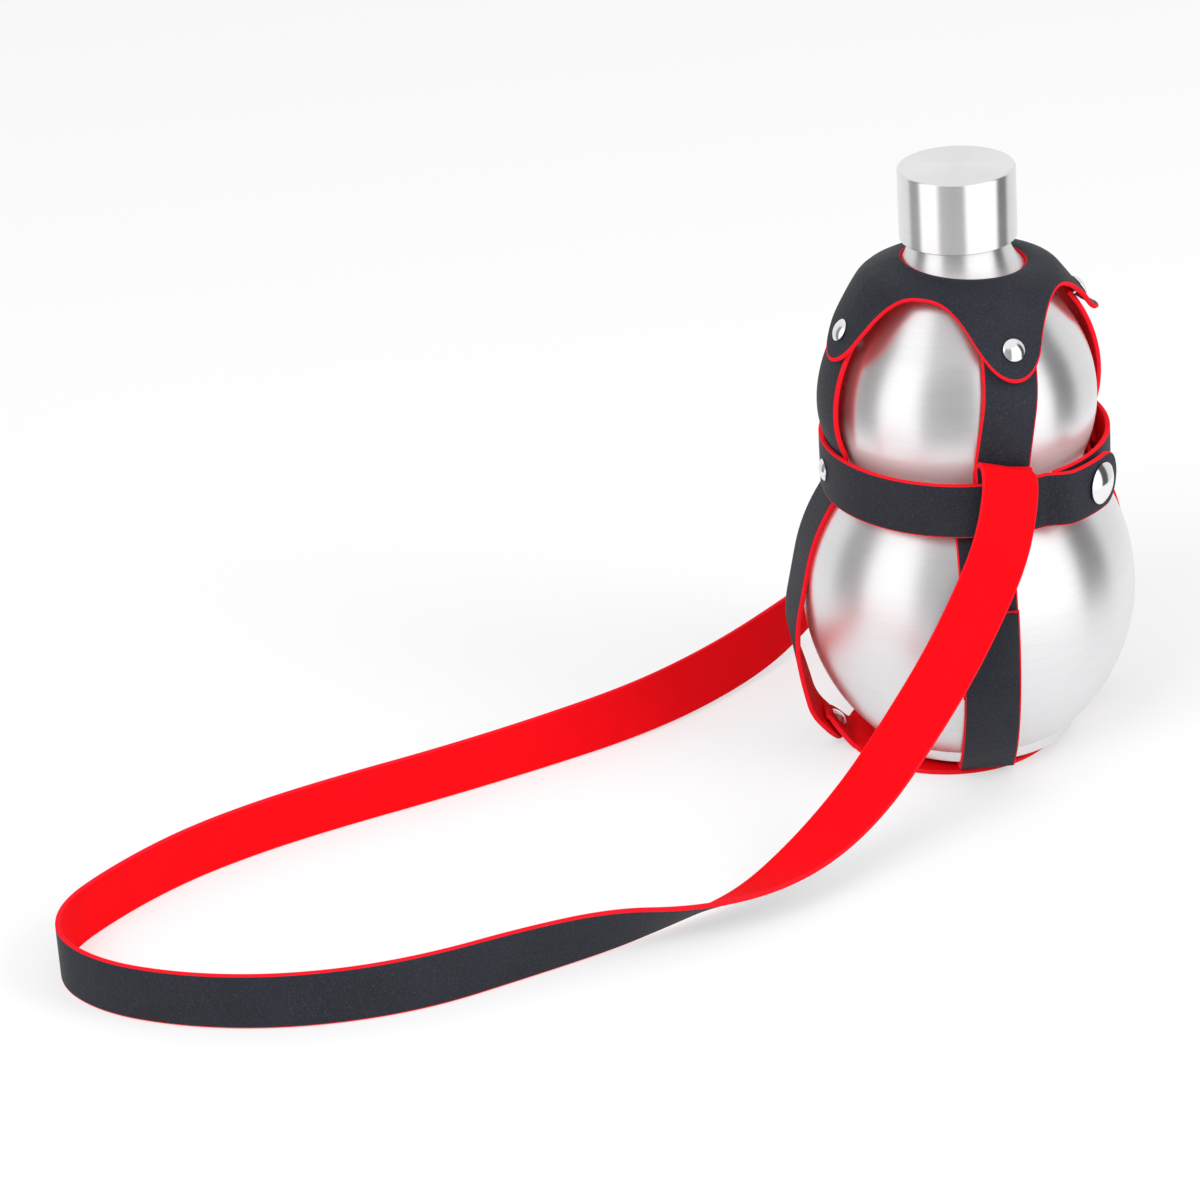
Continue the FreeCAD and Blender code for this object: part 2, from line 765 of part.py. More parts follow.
def arm_line(top_z, under_z):
    """Path of an arm from its top end, down the belly outside a strap, to its corner under the foot."""
    arc = size("belly_arc + strap_gap + layer_gap") + leather * 3 / 2
    high = math.asin((top_z - belly_z) / arc)
    low = math.asin((foot_top - belly_z) / arc)
    top = belly_centre + Vector(math.cos(high), 0, math.sin(high)) * arc
    middle = (high + low) / 2
    corner = belly_centre + Vector(math.cos(middle), 0, math.sin(middle)) * (arc / math.cos((high - low) / 2))
    end = belly_centre + Vector(math.cos(low), 0, math.sin(low)) * arc
    heading = Vector(math.sin(low), 0, -math.cos(low))
    foot = end + heading * ((end.z - under_z) / -heading.z)
    return [top, corner, foot], arc


def foot_strap_shape():
    """Strip under the foot whose two ends climb the belly, outside the front and back straps."""
    right, arc = arm_line(size("arm_top"), leather * 3 / 2)
    left = [Vector(-spot.x, 0, spot.z) for spot in reversed(right)]
    return band(right + left, [arc, size("arm_bend"), size("arm_bend"), arc])


def sole_shape():
    """Disc under the foot, drawn aside towards the slack strap, with a tab inside that strap and a longer
    one that climbs the belly outside the right strap."""
    start, ahead, inwards = sole_tab_line()
    disc = Part.makeCylinder(size("sole_radius"), leather, Vector(-size("sole_shift"), 0, 0))
    middle = Vector(0, 0, leather / 2)
    tab = band([middle, start, start + ahead * size("tab_length")], [size("sole_bend")])
    climb, arc = arm_line(size("taut_tab_top"), leather / 2)
    long_tab = band([middle] + climb[::-1], [size("arm_bend"), arc])
    return disc.fuse([to_azimuth(tab, 270), to_azimuth(long_tab, taut_azimuth)]).removeSplitter()


def collar_shape():
    """Dome of leather round the neck, cut into four lobes with hollow edges between them."""
    bends = [size("slack_run"), size("lobe_bend")]
    dome = band_face([collar_rim, lobe_root, lobe_knee, lobe_end], bends).revolve(Vector(0, 0, 0), UP, 360)
    reach = lobe_end.x - size("lobe_trim")
    inner = size("head_radius - scallop_inset")
    round_tip = size("lobe_tip")
    spread = (reach - round_tip) * math.cos(math.pi / 4)
    hollow = ((reach - round_tip) ** 2 + inner ** 2 - 2 * inner * spread - round_tip ** 2)
    hollow = hollow / (2 * (round_tip + spread - inner))
    edges = []
    for quarter in quarters:
        turn = FreeCAD.Rotation(UP, quarter)
        lobe = Vector(reach - round_tip, 0, 0)
        ends = []
        for side in (-1, 1):
            aim = math.radians(45 * side)
            scallop = Vector(math.cos(aim), math.sin(aim), 0) * (inner + hollow)
            ends.append(lobe + (scallop - lobe).normalize() * round_tip)
        follow = FreeCAD.Rotation(UP, 90).multVec(ends[0])
        apex = Vector(inner, inner, 0) * math.cos(math.pi / 4)
        for spots in ((ends[0], Vector(reach, 0, 0), ends[1]), (ends[1], apex, follow)):
            edges.append(Part.Arc(*[turn.multVec(spot) for spot in spots]).toShape())
    plan = Part.Face(Part.Wire(Part.__sortEdges__(edges)))
    return dome.common(plan.extrude(UP * (2 * collar_rim.z)))


def belt_plan(inset, lift):
    """Point of the belt's plan at an azimuth: an oval, wider where the carry strap passes under it."""
    def spot(azimuth):
        angle = math.radians(azimuth - rivet_turn)
        side = belt_side + inset + lift(azimuth)
        front = belt_front + inset + lift(azimuth)
        across = Vector(side * math.sin(angle), -front * math.cos(angle), 0)
        return FreeCAD.Rotation(UP, rivet_turn).multVec(across)
    return spot


def flat_lift(azimuth):
    """The belt itself stays on its oval."""
    return 0.0


def tab_rise(azimuth):
    """The tab leaves the belt's oval at the hinge and clears the belt's other end."""
    full = leather + size("tab_lift")
    share = (azimuth - size("tab_hinge")) / size("belt_end - tab_hinge - tab_margin")
    share = min(max(share, 0.0), 1.0)
    return full * share ** 2 * (3 - 2 * share)


def belt_band(start, end, lift):
    """Upright band between two azimuths, smooth along its length."""
    count = math.ceil((end - start) / size("belt_step"))
    azimuths = [start + (end - start) * index / count for index in range(count + 1)]
    edges = []
    ends = []
    for inset in (0.0, leather):
        spots = [belt_plan(inset, lift)(azimuth) for azimuth in azimuths]
        curve = Part.BSplineCurve()
        curve.interpolate(spots)
        edges.append(curve.toShape())
        ends.append((spots[0], spots[-1]))
    caps = [Part.makeLine(ends[0][index], ends[1][index]) for index in (0, 1)]
    face = Part.Face(Part.Wire(Part.__sortEdges__(edges + caps)))
    face.translate(UP * belt_low)
    return face.extrude(UP * size("strap_width"))


# Rivets, and the holes that they pass through

lobe_cuts = []
lobe_solids = []
for quarter in quarters:
    start = to_azimuth(Part.Vertex(strap_knee - lobe_out * (leather / 2)), quarter + upper_turn).Point
    towards = to_azimuth(Part.Vertex(lobe_out), quarter + upper_turn).Point
    sink = size("rivet_plate + rivet_clearance / 2")
    grip = leather * 2 + size("collar_gap") - sink + size("rivet_clearance") / 2
    lobe_solids.append(rivet(start + towards * (sink - size("rivet_plate")), towards, grip))
    lobe_cuts.append(rivet_hole(start, towards, grip * 3))
    seat_radius = size("rivet_radius + rivet_clearance")
    lobe_cuts.append(shank(start - towards * leather, towards, seat_radius, leather + sink))

belt_cuts = []
belt_solids = []
right_rivet = 90 + (rivet_turn + size("taut_turn")) / 2
rivet_azimuths = (rivet_turn, right_rivet, 180 + rivet_turn, 270 + rivet_turn)
rivet_reaches = (belt_front, belt_side + size("rivet_clearance"), belt_front, belt_side)
for azimuth, reach in zip(rivet_azimuths, rivet_reaches):
    towards = radial(azimuth)
    inner = lower_middle - size("end_step") - leather / 2
    plate = inner - size("rivet_plate + layer_gap")
    start = towards * plate + UP * belt_middle
    grip = reach + leather - inner + size("layer_gap")
    belt_solids.append(rivet(start, towards, grip))
    belt_cuts.append(rivet_hole(towards * plate + UP * belt_middle, towards, grip * 2))

tab_start, tab_ahead, tab_inwards = sole_tab_line()
tab_spot = tab_start + tab_ahead * size("tab_rivet") - tab_inwards * (leather * 3 / 2 + size("layer_gap"))
tab_foot = to_azimuth(Part.Vertex(tab_spot), 270).Point
tab_towards = to_azimuth(Part.Vertex(tab_inwards), 270).Point
tab_grip = leather * 2 + size("layer_gap")
tab_hole = rivet_hole(tab_foot - tab_towards * tab_grip, tab_towards, tab_grip * 3)

piece("lobe_rivets", Part.Compound(lobe_solids))
piece("belt_rivets", Part.Compound(belt_solids))
piece("tab_rivet", rivet(tab_foot - tab_towards * size("rivet_plate"), tab_towards, tab_grip))

# Room of the belt at its tight sides, where its lower edge presses into the straps
belt_room = Part.makeCylinder(2 * belt_front, size("strap_width + belt_clearance"))
belt_room = belt_room.cut(Part.makeCylinder(belt_side - size("belt_clearance"), 2 * belt_high))
belt_room.translate(UP * (belt_low - size("belt_clearance")))

collar = collar_shape()
piece("neck_collar", to_azimuth(collar, upper_turn).cut(lobe_cuts))
for quarter, below, name in zip(quarters, lower_azimuths, quarter_names):
    on_side = name in ("left", "right")
    upper = upper_strap_shape(size("upper_slack") if on_side else 0)
    upper.rotate(Vector(0, 0, 0), UP, quarter)
    piece(f"upper_strap_{name}", upper.cut(lobe_cuts + belt_cuts))
    lower = slack_strap_shape() if name == "left" else snug_strap_shape()
    pressed = belt_cuts + [tab_hole] + ([belt_room] if on_side else [])
    piece(f"lower_strap_{name}", to_azimuth(lower, below).cut(pressed))

piece("foot_strap", to_azimuth(foot_strap_shape(), 0))
piece("sole", sole_shape().cut(tab_hole))


# Snap fastener on the belt's closing tab

def snap_spot(inset, lift):
    """Point of the belt or its tab at the snap's azimuth, half way up."""
    return belt_plan(inset, lift)(size("snap_angle")) + UP * belt_middle


belt_way = belt_plan(leather, flat_lift)
snap_along = belt_way(size("snap_angle + tab_cut")) - belt_way(size("snap_angle - tab_cut"))
snap_out = snap_along.cross(UP).normalize()
belt_face = snap_spot(leather, flat_lift)
tab_inner = (snap_spot(0.0, tab_rise) - belt_face).dot(snap_out)
tab_outer = (snap_spot(leather, tab_rise) - belt_face).dot(snap_out)
snap_post = size("snap_post")
snap_bore = snap_post + size("rivet_clearance")
snap_hole = shank(belt_face - snap_out * tab_outer, snap_out, snap_bore, 3 * tab_outer)


def snap_piece(label, shape, distance):
    """Turned piece of the snap, with its foot at a distance from the belt's outer face."""
    return piece(label, placed(shape, belt_face + snap_out * distance, snap_out))


def snap_cap_shape():
    """Domed cap with the post that holds it in the tab."""
    cap = domed(size("snap_radius"), size("snap_dome"), size("snap_rim"))
    grip = tab_outer - tab_inner + size("snap_seat")
    return cap.fuse(shank(Vector(0, 0, 0), -UP, snap_post, grip)).removeSplitter()


def snap_socket_shape():
    """Ring with a closed roof on the tab's inner face, which takes the stud."""
    outer = Part.makeCylinder(size("socket_radius"), size("socket_height"))
    bore = Part.makeCylinder(size("socket_radius - socket_wall"), size("socket_height") - size("rivet_plate"))
    return outer.cut(bore)


def snap_stud_shape():
    """Knob on a flange, with the post that passes through the belt's end."""
    knob = Part.makeCylinder(size("stud_radius"), size("stud_height"))
    post = shank(Vector(0, 0, 0), -UP, snap_post, leather + size("snap_seat"))
    return knob.fuse(post).removeSplitter()


def snap_plate_shape():
    """Plate on the inner face of the belt's end."""
    return Part.makeCylinder(size("socket_radius"), size("rivet_plate"))


belt = belt_band(size("belt_end"), 360 + size("tab_hinge"), flat_lift)
piece("waist_belt", belt.cut(belt_cuts + [snap_hole]))
tab_begin = size("tab_hinge + tab_cut")
piece("belt_tab", belt_band(tab_begin, size("tab_end"), tab_rise).cut(snap_hole))
snap_piece("snap_cap", snap_cap_shape(), tab_outer)
snap_piece("snap_socket", snap_socket_shape(), tab_inner - size("snap_seat + socket_height"))
snap_piece("snap_stud", snap_stud_shape(), 0.0)
snap_piece("snap_plate", snap_plate_shape(), -leather - size("snap_seat + rivet_plate"))


# Carry strap: a limp band that lies on the floor, with both tails folded over the belt

def tail_points(azimuth):
    """Tail under the belt, two corners of the fold over its top edge, and the start of the free band."""
    out = radial(azimuth)
    aside = Vector(-out.y, out.x, 0)
    across = aside if azimuth < 90 else -aside
    fold = size("fold_radius")
    inside = carry_middle
    outside = inside + 2 * fold
    top = belt_high + fold + leather / 2
    spots = [out * inside + UP * tail_low, out * inside + UP * top, out * outside + UP * top]
    return [(spot, across) for spot in spots]


def strap_route():
    """All points of the carry strap, with the direction across the band at each."""
    front = tail_points(rivet_turn)
    back = tail_points(180 + rivet_turn)
    free = [(Vector(*spot), Vector(*across)) for spot, across in FREE_ROUTE]
    return front + free + back[::-1]


def strap_radii(points):
    """Radius of each inner point's arc: as large as its two runs allow, and the edge's own at a fold."""
    radii = []
    for index in range(1, len(points) - 1):
        before = points[index] - points[index - 1]
        after = points[index + 1] - points[index]
        half = before.getAngle(after) / 2
        radii.append(size("bend_share") * min(before.Length, after.Length) / math.tan(half))
    for index in (0, 1, -1, -2):
        radii[index] = min(radii[index], size("fold_radius"))
    return radii


def carry_strap_shape():
    """The whole band, with its length, radii and lowest point printed."""
    route = strap_route()
    radii = strap_radii([spot for spot, across in route])
    solid, length = ribbon(route, radii)
    share = solid.Volume / (size("strap_width") * leather * length)
    print("carry strap length", round(length, 1), "volume share", round(share, 3))
    print("carry strap radii", [round(radius, 1) for radius in radii])
    print("carry strap lowest point", round(solid.BoundBox.ZMin, 2))
    return solid


piece("carry_strap", carry_strap_shape().cut(belt_cuts))

doc.recompute()
nodes = [part for part in doc.Objects if part.TypeId in ("PartDesign::Body", "Part::Feature")]
for part in doc.Objects:
    if "Invalid" in part.State or "Error" in part.State:
        raise RuntimeError(f"{part.Name} failed: {part.State}")
for part in nodes:
    if part.Shape.isNull() or not part.Shape.isValid():
        raise RuntimeError(f"{part.Label} has no valid shape")
    if not part.Shape.Solids:
        raise RuntimeError(f"{part.Label} has no solid")
for part in nodes:
    part.Shape.exportStep(f"parts/{part.Label}.step")
    print(part.Label, len(part.Shape.Solids), round(part.Shape.Volume, 1))
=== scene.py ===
import math

import bmesh
import bpy
import numpy as np
from mathutils import Matrix, Vector


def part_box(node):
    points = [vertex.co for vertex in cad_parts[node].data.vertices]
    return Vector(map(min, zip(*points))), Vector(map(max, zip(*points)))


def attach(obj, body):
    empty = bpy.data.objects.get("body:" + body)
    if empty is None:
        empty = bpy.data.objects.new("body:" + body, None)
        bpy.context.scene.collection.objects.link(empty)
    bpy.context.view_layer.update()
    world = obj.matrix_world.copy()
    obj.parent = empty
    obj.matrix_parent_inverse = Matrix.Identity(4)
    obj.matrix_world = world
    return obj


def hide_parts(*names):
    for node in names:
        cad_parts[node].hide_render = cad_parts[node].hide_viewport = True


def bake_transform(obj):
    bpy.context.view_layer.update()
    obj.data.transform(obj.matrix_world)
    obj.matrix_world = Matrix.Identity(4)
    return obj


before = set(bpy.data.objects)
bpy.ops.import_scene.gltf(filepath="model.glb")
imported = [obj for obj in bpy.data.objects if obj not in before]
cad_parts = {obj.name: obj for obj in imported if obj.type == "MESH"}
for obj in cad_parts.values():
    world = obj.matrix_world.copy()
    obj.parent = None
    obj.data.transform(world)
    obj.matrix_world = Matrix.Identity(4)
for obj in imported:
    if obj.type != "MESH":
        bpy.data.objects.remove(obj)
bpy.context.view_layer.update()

# Sizes in metres, angles in degrees, and shares. Azimuths count from -Y towards +X.

MM = 0.001
UP = np.array([0.0, 0.0, 1.0])
LEATHER = 1.8 * MM
STRAP_WIDTH = 20.0 * MM
EDGE_ROUNDING = 0.5 * MM
STRAP_GAP = 0.4 * MM
LAYER_GAP = 0.3 * MM
UPPER_TURN = 16.0
RIVET_TURN = UPPER_TURN / 2
QUARTERS = {"front": 0.0, "right": 90.0, "back": 180.0, "left": 270.0}

# Meshes: finishes of leather faces, shares at strap ends, numbers of points, and turns that show as edges
GRAIN = 0
FLESH = 1
CUT = 2
END_SINK = 0.35
END_STEP = 0.8
LEAST_END = 0.02
STRAP_COLUMNS = 11
COLLAR_COLUMNS = 41
BEND_POINTS = 17
SAME_PLACE = 0.002 * MM
LEATHER_SHARP = 40.0
METAL_SHARP = 30.0

WALL = 0.8 * MM
FOOT_WALL = 1.2 * MM
BELLY_RADIUS = 60.0 * MM
BELLY_ARC = 70.0 * MM
HEAD_RADIUS = 47.5 * MM
HEAD_ARC = 52.0 * MM
WAIST_FILLET = 8.0 * MM
SHOULDER_SLOPE = 57.0
NECK_FLARE = 18.0 * MM
NECK_DIP = 3.2 * MM
WAIST_DULL = (94.0 * MM, 119.0 * MM, 136.0 * MM)
SEAT = 2 * LEATHER
BELLY_Z = SEAT + 55.0 * MM
HEAD_Z = SEAT + 128.0 * MM

COLLAR_HOLE = 24.5 * MM
COLLAR_RISE = 2.5 * MM
COLLAR_GAP = 1.7 * MM
COLLAR_SLOPE = 30.0
LOBE_ROOT = 34.0 * MM
LOBE_SLOPE = 54.0
LOBE_LENGTH = 18.6 * MM
LOBE_TIP_SLOPE = 65.0
LOBE_DROP = 10.5 * MM
LOBE_TIP = 13.6 * MM
LOBE_TRIM = -0.3 * MM
SCALLOP_RADIUS = 33.5 * MM
SCALLOP_RIGHT = 36.5 * MM
LOBE_BEND = 30.0 * MM
LOBE_STEP = 90.0
HOLE_SHRINK = 2.9 * MM
HOLE_SLIP = 1.5 * MM
RIM_RUN = np.array([-5.0, 0.9]) * MM
RIM_SAG = 2.6 * MM
RIM_SAG_RIGHT = 1.6 * MM
BACK_SINK = 1.4 * MM
BACK_FADE = 10.0 * MM
SWELL_RISE = 2.0 * MM
SWELL_START = 26.0 * MM
SWELL_RUN = 20.0 * MM
SWELL_SPREAD = 45.0
CURL_OUT = 2.5 * MM
CURL_UP = 2.0 * MM
CURL_SPREAD = 30.0

STRAP_OVERLAP = 8.0 * MM
STRAP_BEND = 10.0 * MM
COLLAR_BEND = 12.0 * MM
STRAP_TOP_RUN = 6.0 * MM
STRAP_BOWS = {"left": 5.7 * MM, "right": 4.6 * MM}
LEAN_STARTS = {"left": 13.0, "right": 22.0}
LEAN_ENDS = {"left": 10.0}
BOW_LOW = np.array([0.0, 13.0]) * MM
BOW_HIGH = np.array([3.0, -12.5]) * MM
SLACK_LEAVE = 12.0
SLACK_DROP = 12.6 * MM
SLACK_CURVE = 50.0 * MM
SLACK_KNEE = BELLY_RADIUS - 1.7 * MM
SLACK_KNEE_Z = 14.0 * MM
SLACK_KNEE_BEND = 20.0 * MM
SLACK_TWIST = 7.0
TWIST_Z = 38.0 * MM
TWIST_RUN = 9.0 * MM
SLACK_CURL = 0.25 / BELLY_RADIUS
SNUG_CURL = 0.8 / BELLY_RADIUS
TAUT_AZIMUTH = 114.0
TAUT_TAB_TOP = 52.0 * MM
LOWER_STRAP_END = 40.0 * MM
ARM_TOP = 74.0 * MM
ARM_BEND = 3.0 * MM
SOLE_RADIUS = 38.5 * MM
SOLE_SHIFT = 8.0 * MM
SLACK_LANDING = SOLE_RADIUS + SOLE_SHIFT + 1.0 * MM
TAB_LENGTH = 14.0 * MM
SOLE_BEND = 4.5 * MM
SOLE_LIFT = 0.05 * MM
FLARE = 0.8
FLARE_START = 8.0 * MM
FLARE_RUN = 13.0 * MM
TAB_LEAST = 0.6

BELT_CLEARANCE = 0.15 * MM
TAB_HINGE = 24.0
TAB_END = 63.0
TAB_MARGIN = 3.0
TAB_LIFT = 2.7 * MM
BELT_END = 38.0
BELT_TUCK = 29.5

RIVET_RADIUS = 4.0 * MM
RIVET_DOME = 1.5 * MM
RIVET_RIM = 0.5 * MM
RIM_LIP = 0.4
RIVET_POST = 1.5 * MM
RIVET_PLATE = 0.6 * MM
TAB_RIVET = 8.0 * MM
SNAP_ANGLE = 50.0
SNAP_STEP = 0.5
SNAP_RADIUS = 7.5 * MM
SNAP_DOME = 2.4 * MM

FOLD_LEAN = 0.32

# Fold of the carry strap: reach outwards and rise over the belt's top edge in metres, and share of the lean
FOLD = [(0.0, 0.002, 0.0), (0.0015, 0.005, 1.0), (0.0075, 0.005, 1.0), (0.0095, -0.002, 0.5)]

# Carry strap in metres: its run on edge on the floor, and its whole lie between the tails, front to back, as
# the centre of the band and the direction across it
ON_EDGE = 0.0103
FLOOR_RUN = [(-0.202, -0.174), (-0.230, -0.180), (-0.260, -0.180), (-0.289, -0.173),
             (-0.314, -0.160), (-0.329, -0.140), (-0.328, -0.117), (-0.312, -0.095),
             (-0.289, -0.072), (-0.262, -0.054), (-0.232, -0.039), (-0.197, -0.024)]
FREE_ROUTE = [
    ((0.005, -0.0595, 0.098), (1.0, -0.1, -0.1)),
    ((-0.004, -0.066, 0.081), (0.9, -0.3, -0.3)),
    ((-0.017, -0.076, 0.062), (0.85, -0.35, -0.4)),
    ((-0.033, -0.088, 0.044), (0.8, -0.5, -0.4)),
    ((-0.050, -0.1005, 0.027), (0.75, -0.6, -0.3)),
    ((-0.070, -0.115, 0.015), (0.65, -0.75, -0.05)),
    ((-0.092, -0.131, 0.0095), (0.5, -0.8, 0.35)),
    ((-0.117, -0.142, 0.009), (0.25, -0.75, 0.6)),
    ((-0.145, -0.151, ON_EDGE), (0.1, -0.3, 0.95)),
    ((-0.174, -0.162, ON_EDGE), (0.0, -0.1, 1.0)),
] + [((x, y, ON_EDGE), UP) for x, y in FLOOR_RUN] + [
    ((-0.160, -0.006, ON_EDGE), (-0.05, 0.05, 1.0)),
    ((-0.124, 0.014, ON_EDGE), (-0.15, 0.15, 0.98)),
    ((-0.097, 0.035, 0.0106), (-0.22, 0.25, 0.94)),
    ((-0.073, 0.058, 0.012), (-0.15, 0.2, 0.95)),
    ((-0.052, 0.079, 0.017), (0.15, 0.0, 0.95)),
    ((-0.034, 0.092, 0.028), (0.55, -0.25, 0.75)),
    ((-0.020, 0.094, 0.045), (0.85, -0.25, 0.45)),
    ((-0.012, 0.086, 0.066), (0.95, -0.1, 0.2)),
    ((-0.009, 0.074, 0.086), (1.0, 0.0, 0.05)),
    ((-0.008, 0.0625, 0.104), (1.0, 0.0, 0.0)),
]

# Camera, in metres, degrees and pixels of the square photograph, and its sensor in millimetres
PHOTO_SIZE = 1200
CAMERA_AIM = Vector((0.0, 0.0, 0.110))
CAMERA_DISTANCE = 1.700
CAMERA_AZIMUTH = -7.0
CAMERA_ELEVATION = 23.2496
CAMERA_ROLL = 1.7516
CAMERA_FOCAL_PIXELS = 4741.18
CAMERA_AIM_PIXEL = (964.408, 450.245)
SENSOR = 36.0

# Brightness of the room: by azimuth as polished steel mirrors it, and even for the rest
ROOM_BANDS = [(-180, 0.95), (-114, 0.85), (-108, 0.3), (-87, 0.32), (-80, 1.42),
              (-49, 1.42), (-40, 0.5), (-16, 0.4), (4, 0.44), (12, 1.42), (72, 1.42), (78, 0.1),
              (100, 0.12), (107, 0.8), (180, 0.95)]
ROOM_LEVEL = 0.75

# Ceiling's start and full brightness, as sines of the elevation
CEILING_START = 0.55
CEILING_FULL = 0.85
CEILING_LEVEL = 0.95

# Floor in metres, and the share of its own glow
TABLE_EDGE = 0.40
TABLE_FADE = 0.08
FLOOR_REACH = 6.0
FLOOR_GLOW = 0.5

# Linear colours
WHITE = (1.0, 1.0, 1.0)
FLOOR_COLOUR = (0.90, 0.90, 0.91)
STEEL = (0.86, 0.86, 0.87)
BLACK_DEEP = (0.009, 0.010, 0.0145)
BLACK_WORN = (0.025, 0.027, 0.037)
# Pale specks on the black leather: painted glints of its grain
BLACK_GLINT = (0.060, 0.064, 0.080)

# Places that several pieces share, in metres, as (radius, height) where they are turned

belt_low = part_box("waist_belt")[0].z
belt_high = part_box("waist_belt")[1].z
belt_middle = (belt_low + belt_high) / 2
foot_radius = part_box("foot_ring")[1].x
foot_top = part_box("foot_ring")[1].z
neck_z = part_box("neck_ring")[0].z
neck_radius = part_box("neck_ring")[1].x
cap_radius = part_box("cap_shell")[1].x
cap_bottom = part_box("cap_shell")[0].z
cap_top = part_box("cap_shell")[1].z
tail_middle = HEAD_RADIUS + STRAP_GAP + LEATHER / 2
lower_middle = tail_middle - LEATHER - LAYER_GAP
carry_middle = tail_middle + LEATHER + LAYER_GAP
belt_side = tail_middle + LEATHER / 2 + BELT_CLEARANCE
belt_front = math.hypot(carry_middle + LEATHER / 2, STRAP_WIDTH / 2) + BELT_CLEARANCE
tail_low = belt_middle - STRAP_OVERLAP / 2
head_top = belt_middle + STRAP_OVERLAP / 2
belly_centre = np.array([BELLY_RADIUS - BELLY_ARC, BELLY_Z])
head_centre = np.array([0.0, HEAD_Z])
shoulder_centre = np.array([HEAD_RADIUS - HEAD_ARC, HEAD_Z])
snug_radius = BELLY_ARC + STRAP_GAP + LEATHER / 2
arm_radius = snug_radius + LEATHER + LAYER_GAP
slack_foot = np.array([SLACK_LANDING, LEATHER / 2 + STRAP_GAP])
slack_knee = np.array([SLACK_KNEE, SLACK_KNEE_Z])


# Points and directions

def unit(vectors):
    """Vectors divided by their lengths."""
    return vectors / np.linalg.norm(vectors, axis=-1, keepdims=True)


def outwards(azimuth):
    """Level direction away from the axis: the sine and minus the cosine of the azimuth."""
    angle = np.radians(azimuth)
    return np.stack([np.sin(angle), -np.cos(angle), np.zeros_like(angle)], axis=-1)


def sideways(azimuth):
    """Level direction of growing azimuth: the cosine and the sine of the azimuth."""
    angle = np.radians(azimuth)
    return np.stack([np.cos(angle), np.sin(angle), np.zeros_like(angle)], axis=-1)


def toward(angle):
    """Direction in (radius, height) at an angle above the level, in radians."""
    return np.array([math.cos(angle), math.sin(angle)])


def slope_down(angle):
    """Direction in (radius, height) that goes outwards and down at a slope."""
    return toward(-math.radians(angle))


def arc(centre, radius, start, end, count):
    """Points of a circular arc between two angles, in (radius, height)."""
    angles = np.radians(np.linspace(start, end, count))
    return centre + radius * np.stack([np.cos(angles), np.sin(angles)], axis=-1)


def length_along(line):
    """Length from a line's start to each of its points."""
    return np.concatenate([[0.0], np.cumsum(np.linalg.norm(np.diff(line, axis=0), axis=1))])


def even_steps(line, count):
    """The line's points again, at equal steps of its length."""
    line = np.asarray(line, float)
    lengths = length_along(line)
    places = np.linspace(0.0, lengths[-1], count)
    return np.stack([np.interp(places, lengths, column) for column in line.T], axis=-1)


def rounded(corners, radii, count):
    """Straight runs joined by tangent arcs: each arc starts at radius times the tangent of half the turn
    before its corner, and its points are the blend of its first and last spokes by sines."""
    corners = np.asarray(corners, float)
    parts = [corners[:1]]
    share = np.linspace(0.0, 1.0, BEND_POINTS)[:, None]
    for before, corner, after, radius in zip(corners, corners[1:], corners[2:], radii):
        ahead = unit(corner - before)
        onward = unit(after - corner)
        turn = math.acos(np.clip(ahead @ onward, -1.0, 1.0))
        reach = radius * math.tan(turn / 2)
        centre = corner + unit(onward - ahead) * radius / math.cos(turn / 2)
        first = corner - ahead * reach - centre
        last = corner + onward * reach - centre
        spokes = np.sin((1 - share) * turn) * first + np.sin(share * turn) * last
        parts.append(centre + spokes / math.sin(turn))
    parts.append(corners[-1:])
    return even_steps(np.concatenate(parts), count)


def at_azimuth(line, azimuth):
    """Points of a (radius, height) line stood up at an azimuth, or at one azimuth for each point."""
    azimuth = np.broadcast_to(np.asarray(azimuth, float), line.shape[:1])
    return outwards(azimuth) * line[:, :1] + UP * line[:, 1:]


# Meshes and pieces

def grid_faces(rows, columns, wrap_rows, wrap_columns, start):
    """Corner numbers of the quads of a grid of points, closed in either direction if asked."""
    upper = np.arange(rows if wrap_rows else rows - 1)
    across = np.arange(columns if wrap_columns else columns - 1)
    row, column = np.meshgrid(upper, across, indexing="ij")
    here = row * columns
    below = (row + 1) % rows * columns
    beside = (column + 1) % columns
    corners = [here + column, here + beside, below + beside, below + column]
    return start + np.stack(corners, axis=-1).reshape(-1, 4)


def solid_mesh(name, grids, finishes, sharp):
    """Mesh of closed grids, each (points, wrap rows, wrap columns, finish of its faces). Edges that turn by
    more than the sharp angle show."""
    points = []
    faces = []
    kinds = []
    start = 0
    for grid, wrap_rows, wrap_columns, face_finish in grids:
        rows, columns = grid.shape[:2]
        made = grid_faces(rows, columns, wrap_rows, wrap_columns, start)
        bands = rows if wrap_rows else rows - 1
        kinds.append(np.broadcast_to(face_finish, (bands, len(made) // bands)).ravel())
        points.append(grid.reshape(-1, 3))
        faces.append(made)
        start += rows * columns
    mesh = bpy.data.meshes.new(name)
    mesh.from_pydata(np.concatenate(points).tolist(), [], np.concatenate(faces).tolist())
    for finish in finishes:
        mesh.materials.append(finish)
    mesh.polygons.foreach_set("material_index", np.concatenate(kinds).astype(np.int32))
    shell = bmesh.new()
    shell.from_mesh(mesh)
    bmesh.ops.remove_doubles(shell, verts=shell.verts, dist=SAME_PLACE)
    bmesh.ops.recalc_face_normals(shell, faces=shell.faces)
    shell.to_mesh(mesh)
    shell.free()
    mesh.polygons.foreach_set("use_smooth", np.ones(len(mesh.polygons), bool))
    mesh.set_sharp_from_angle(angle=math.radians(sharp))
    return mesh


def add_object(name, data):
    """Object in the scene for a mesh, a light or a camera."""
    made = bpy.data.objects.new(name, data)
    bpy.context.scene.collection.objects.link(made)
    return made


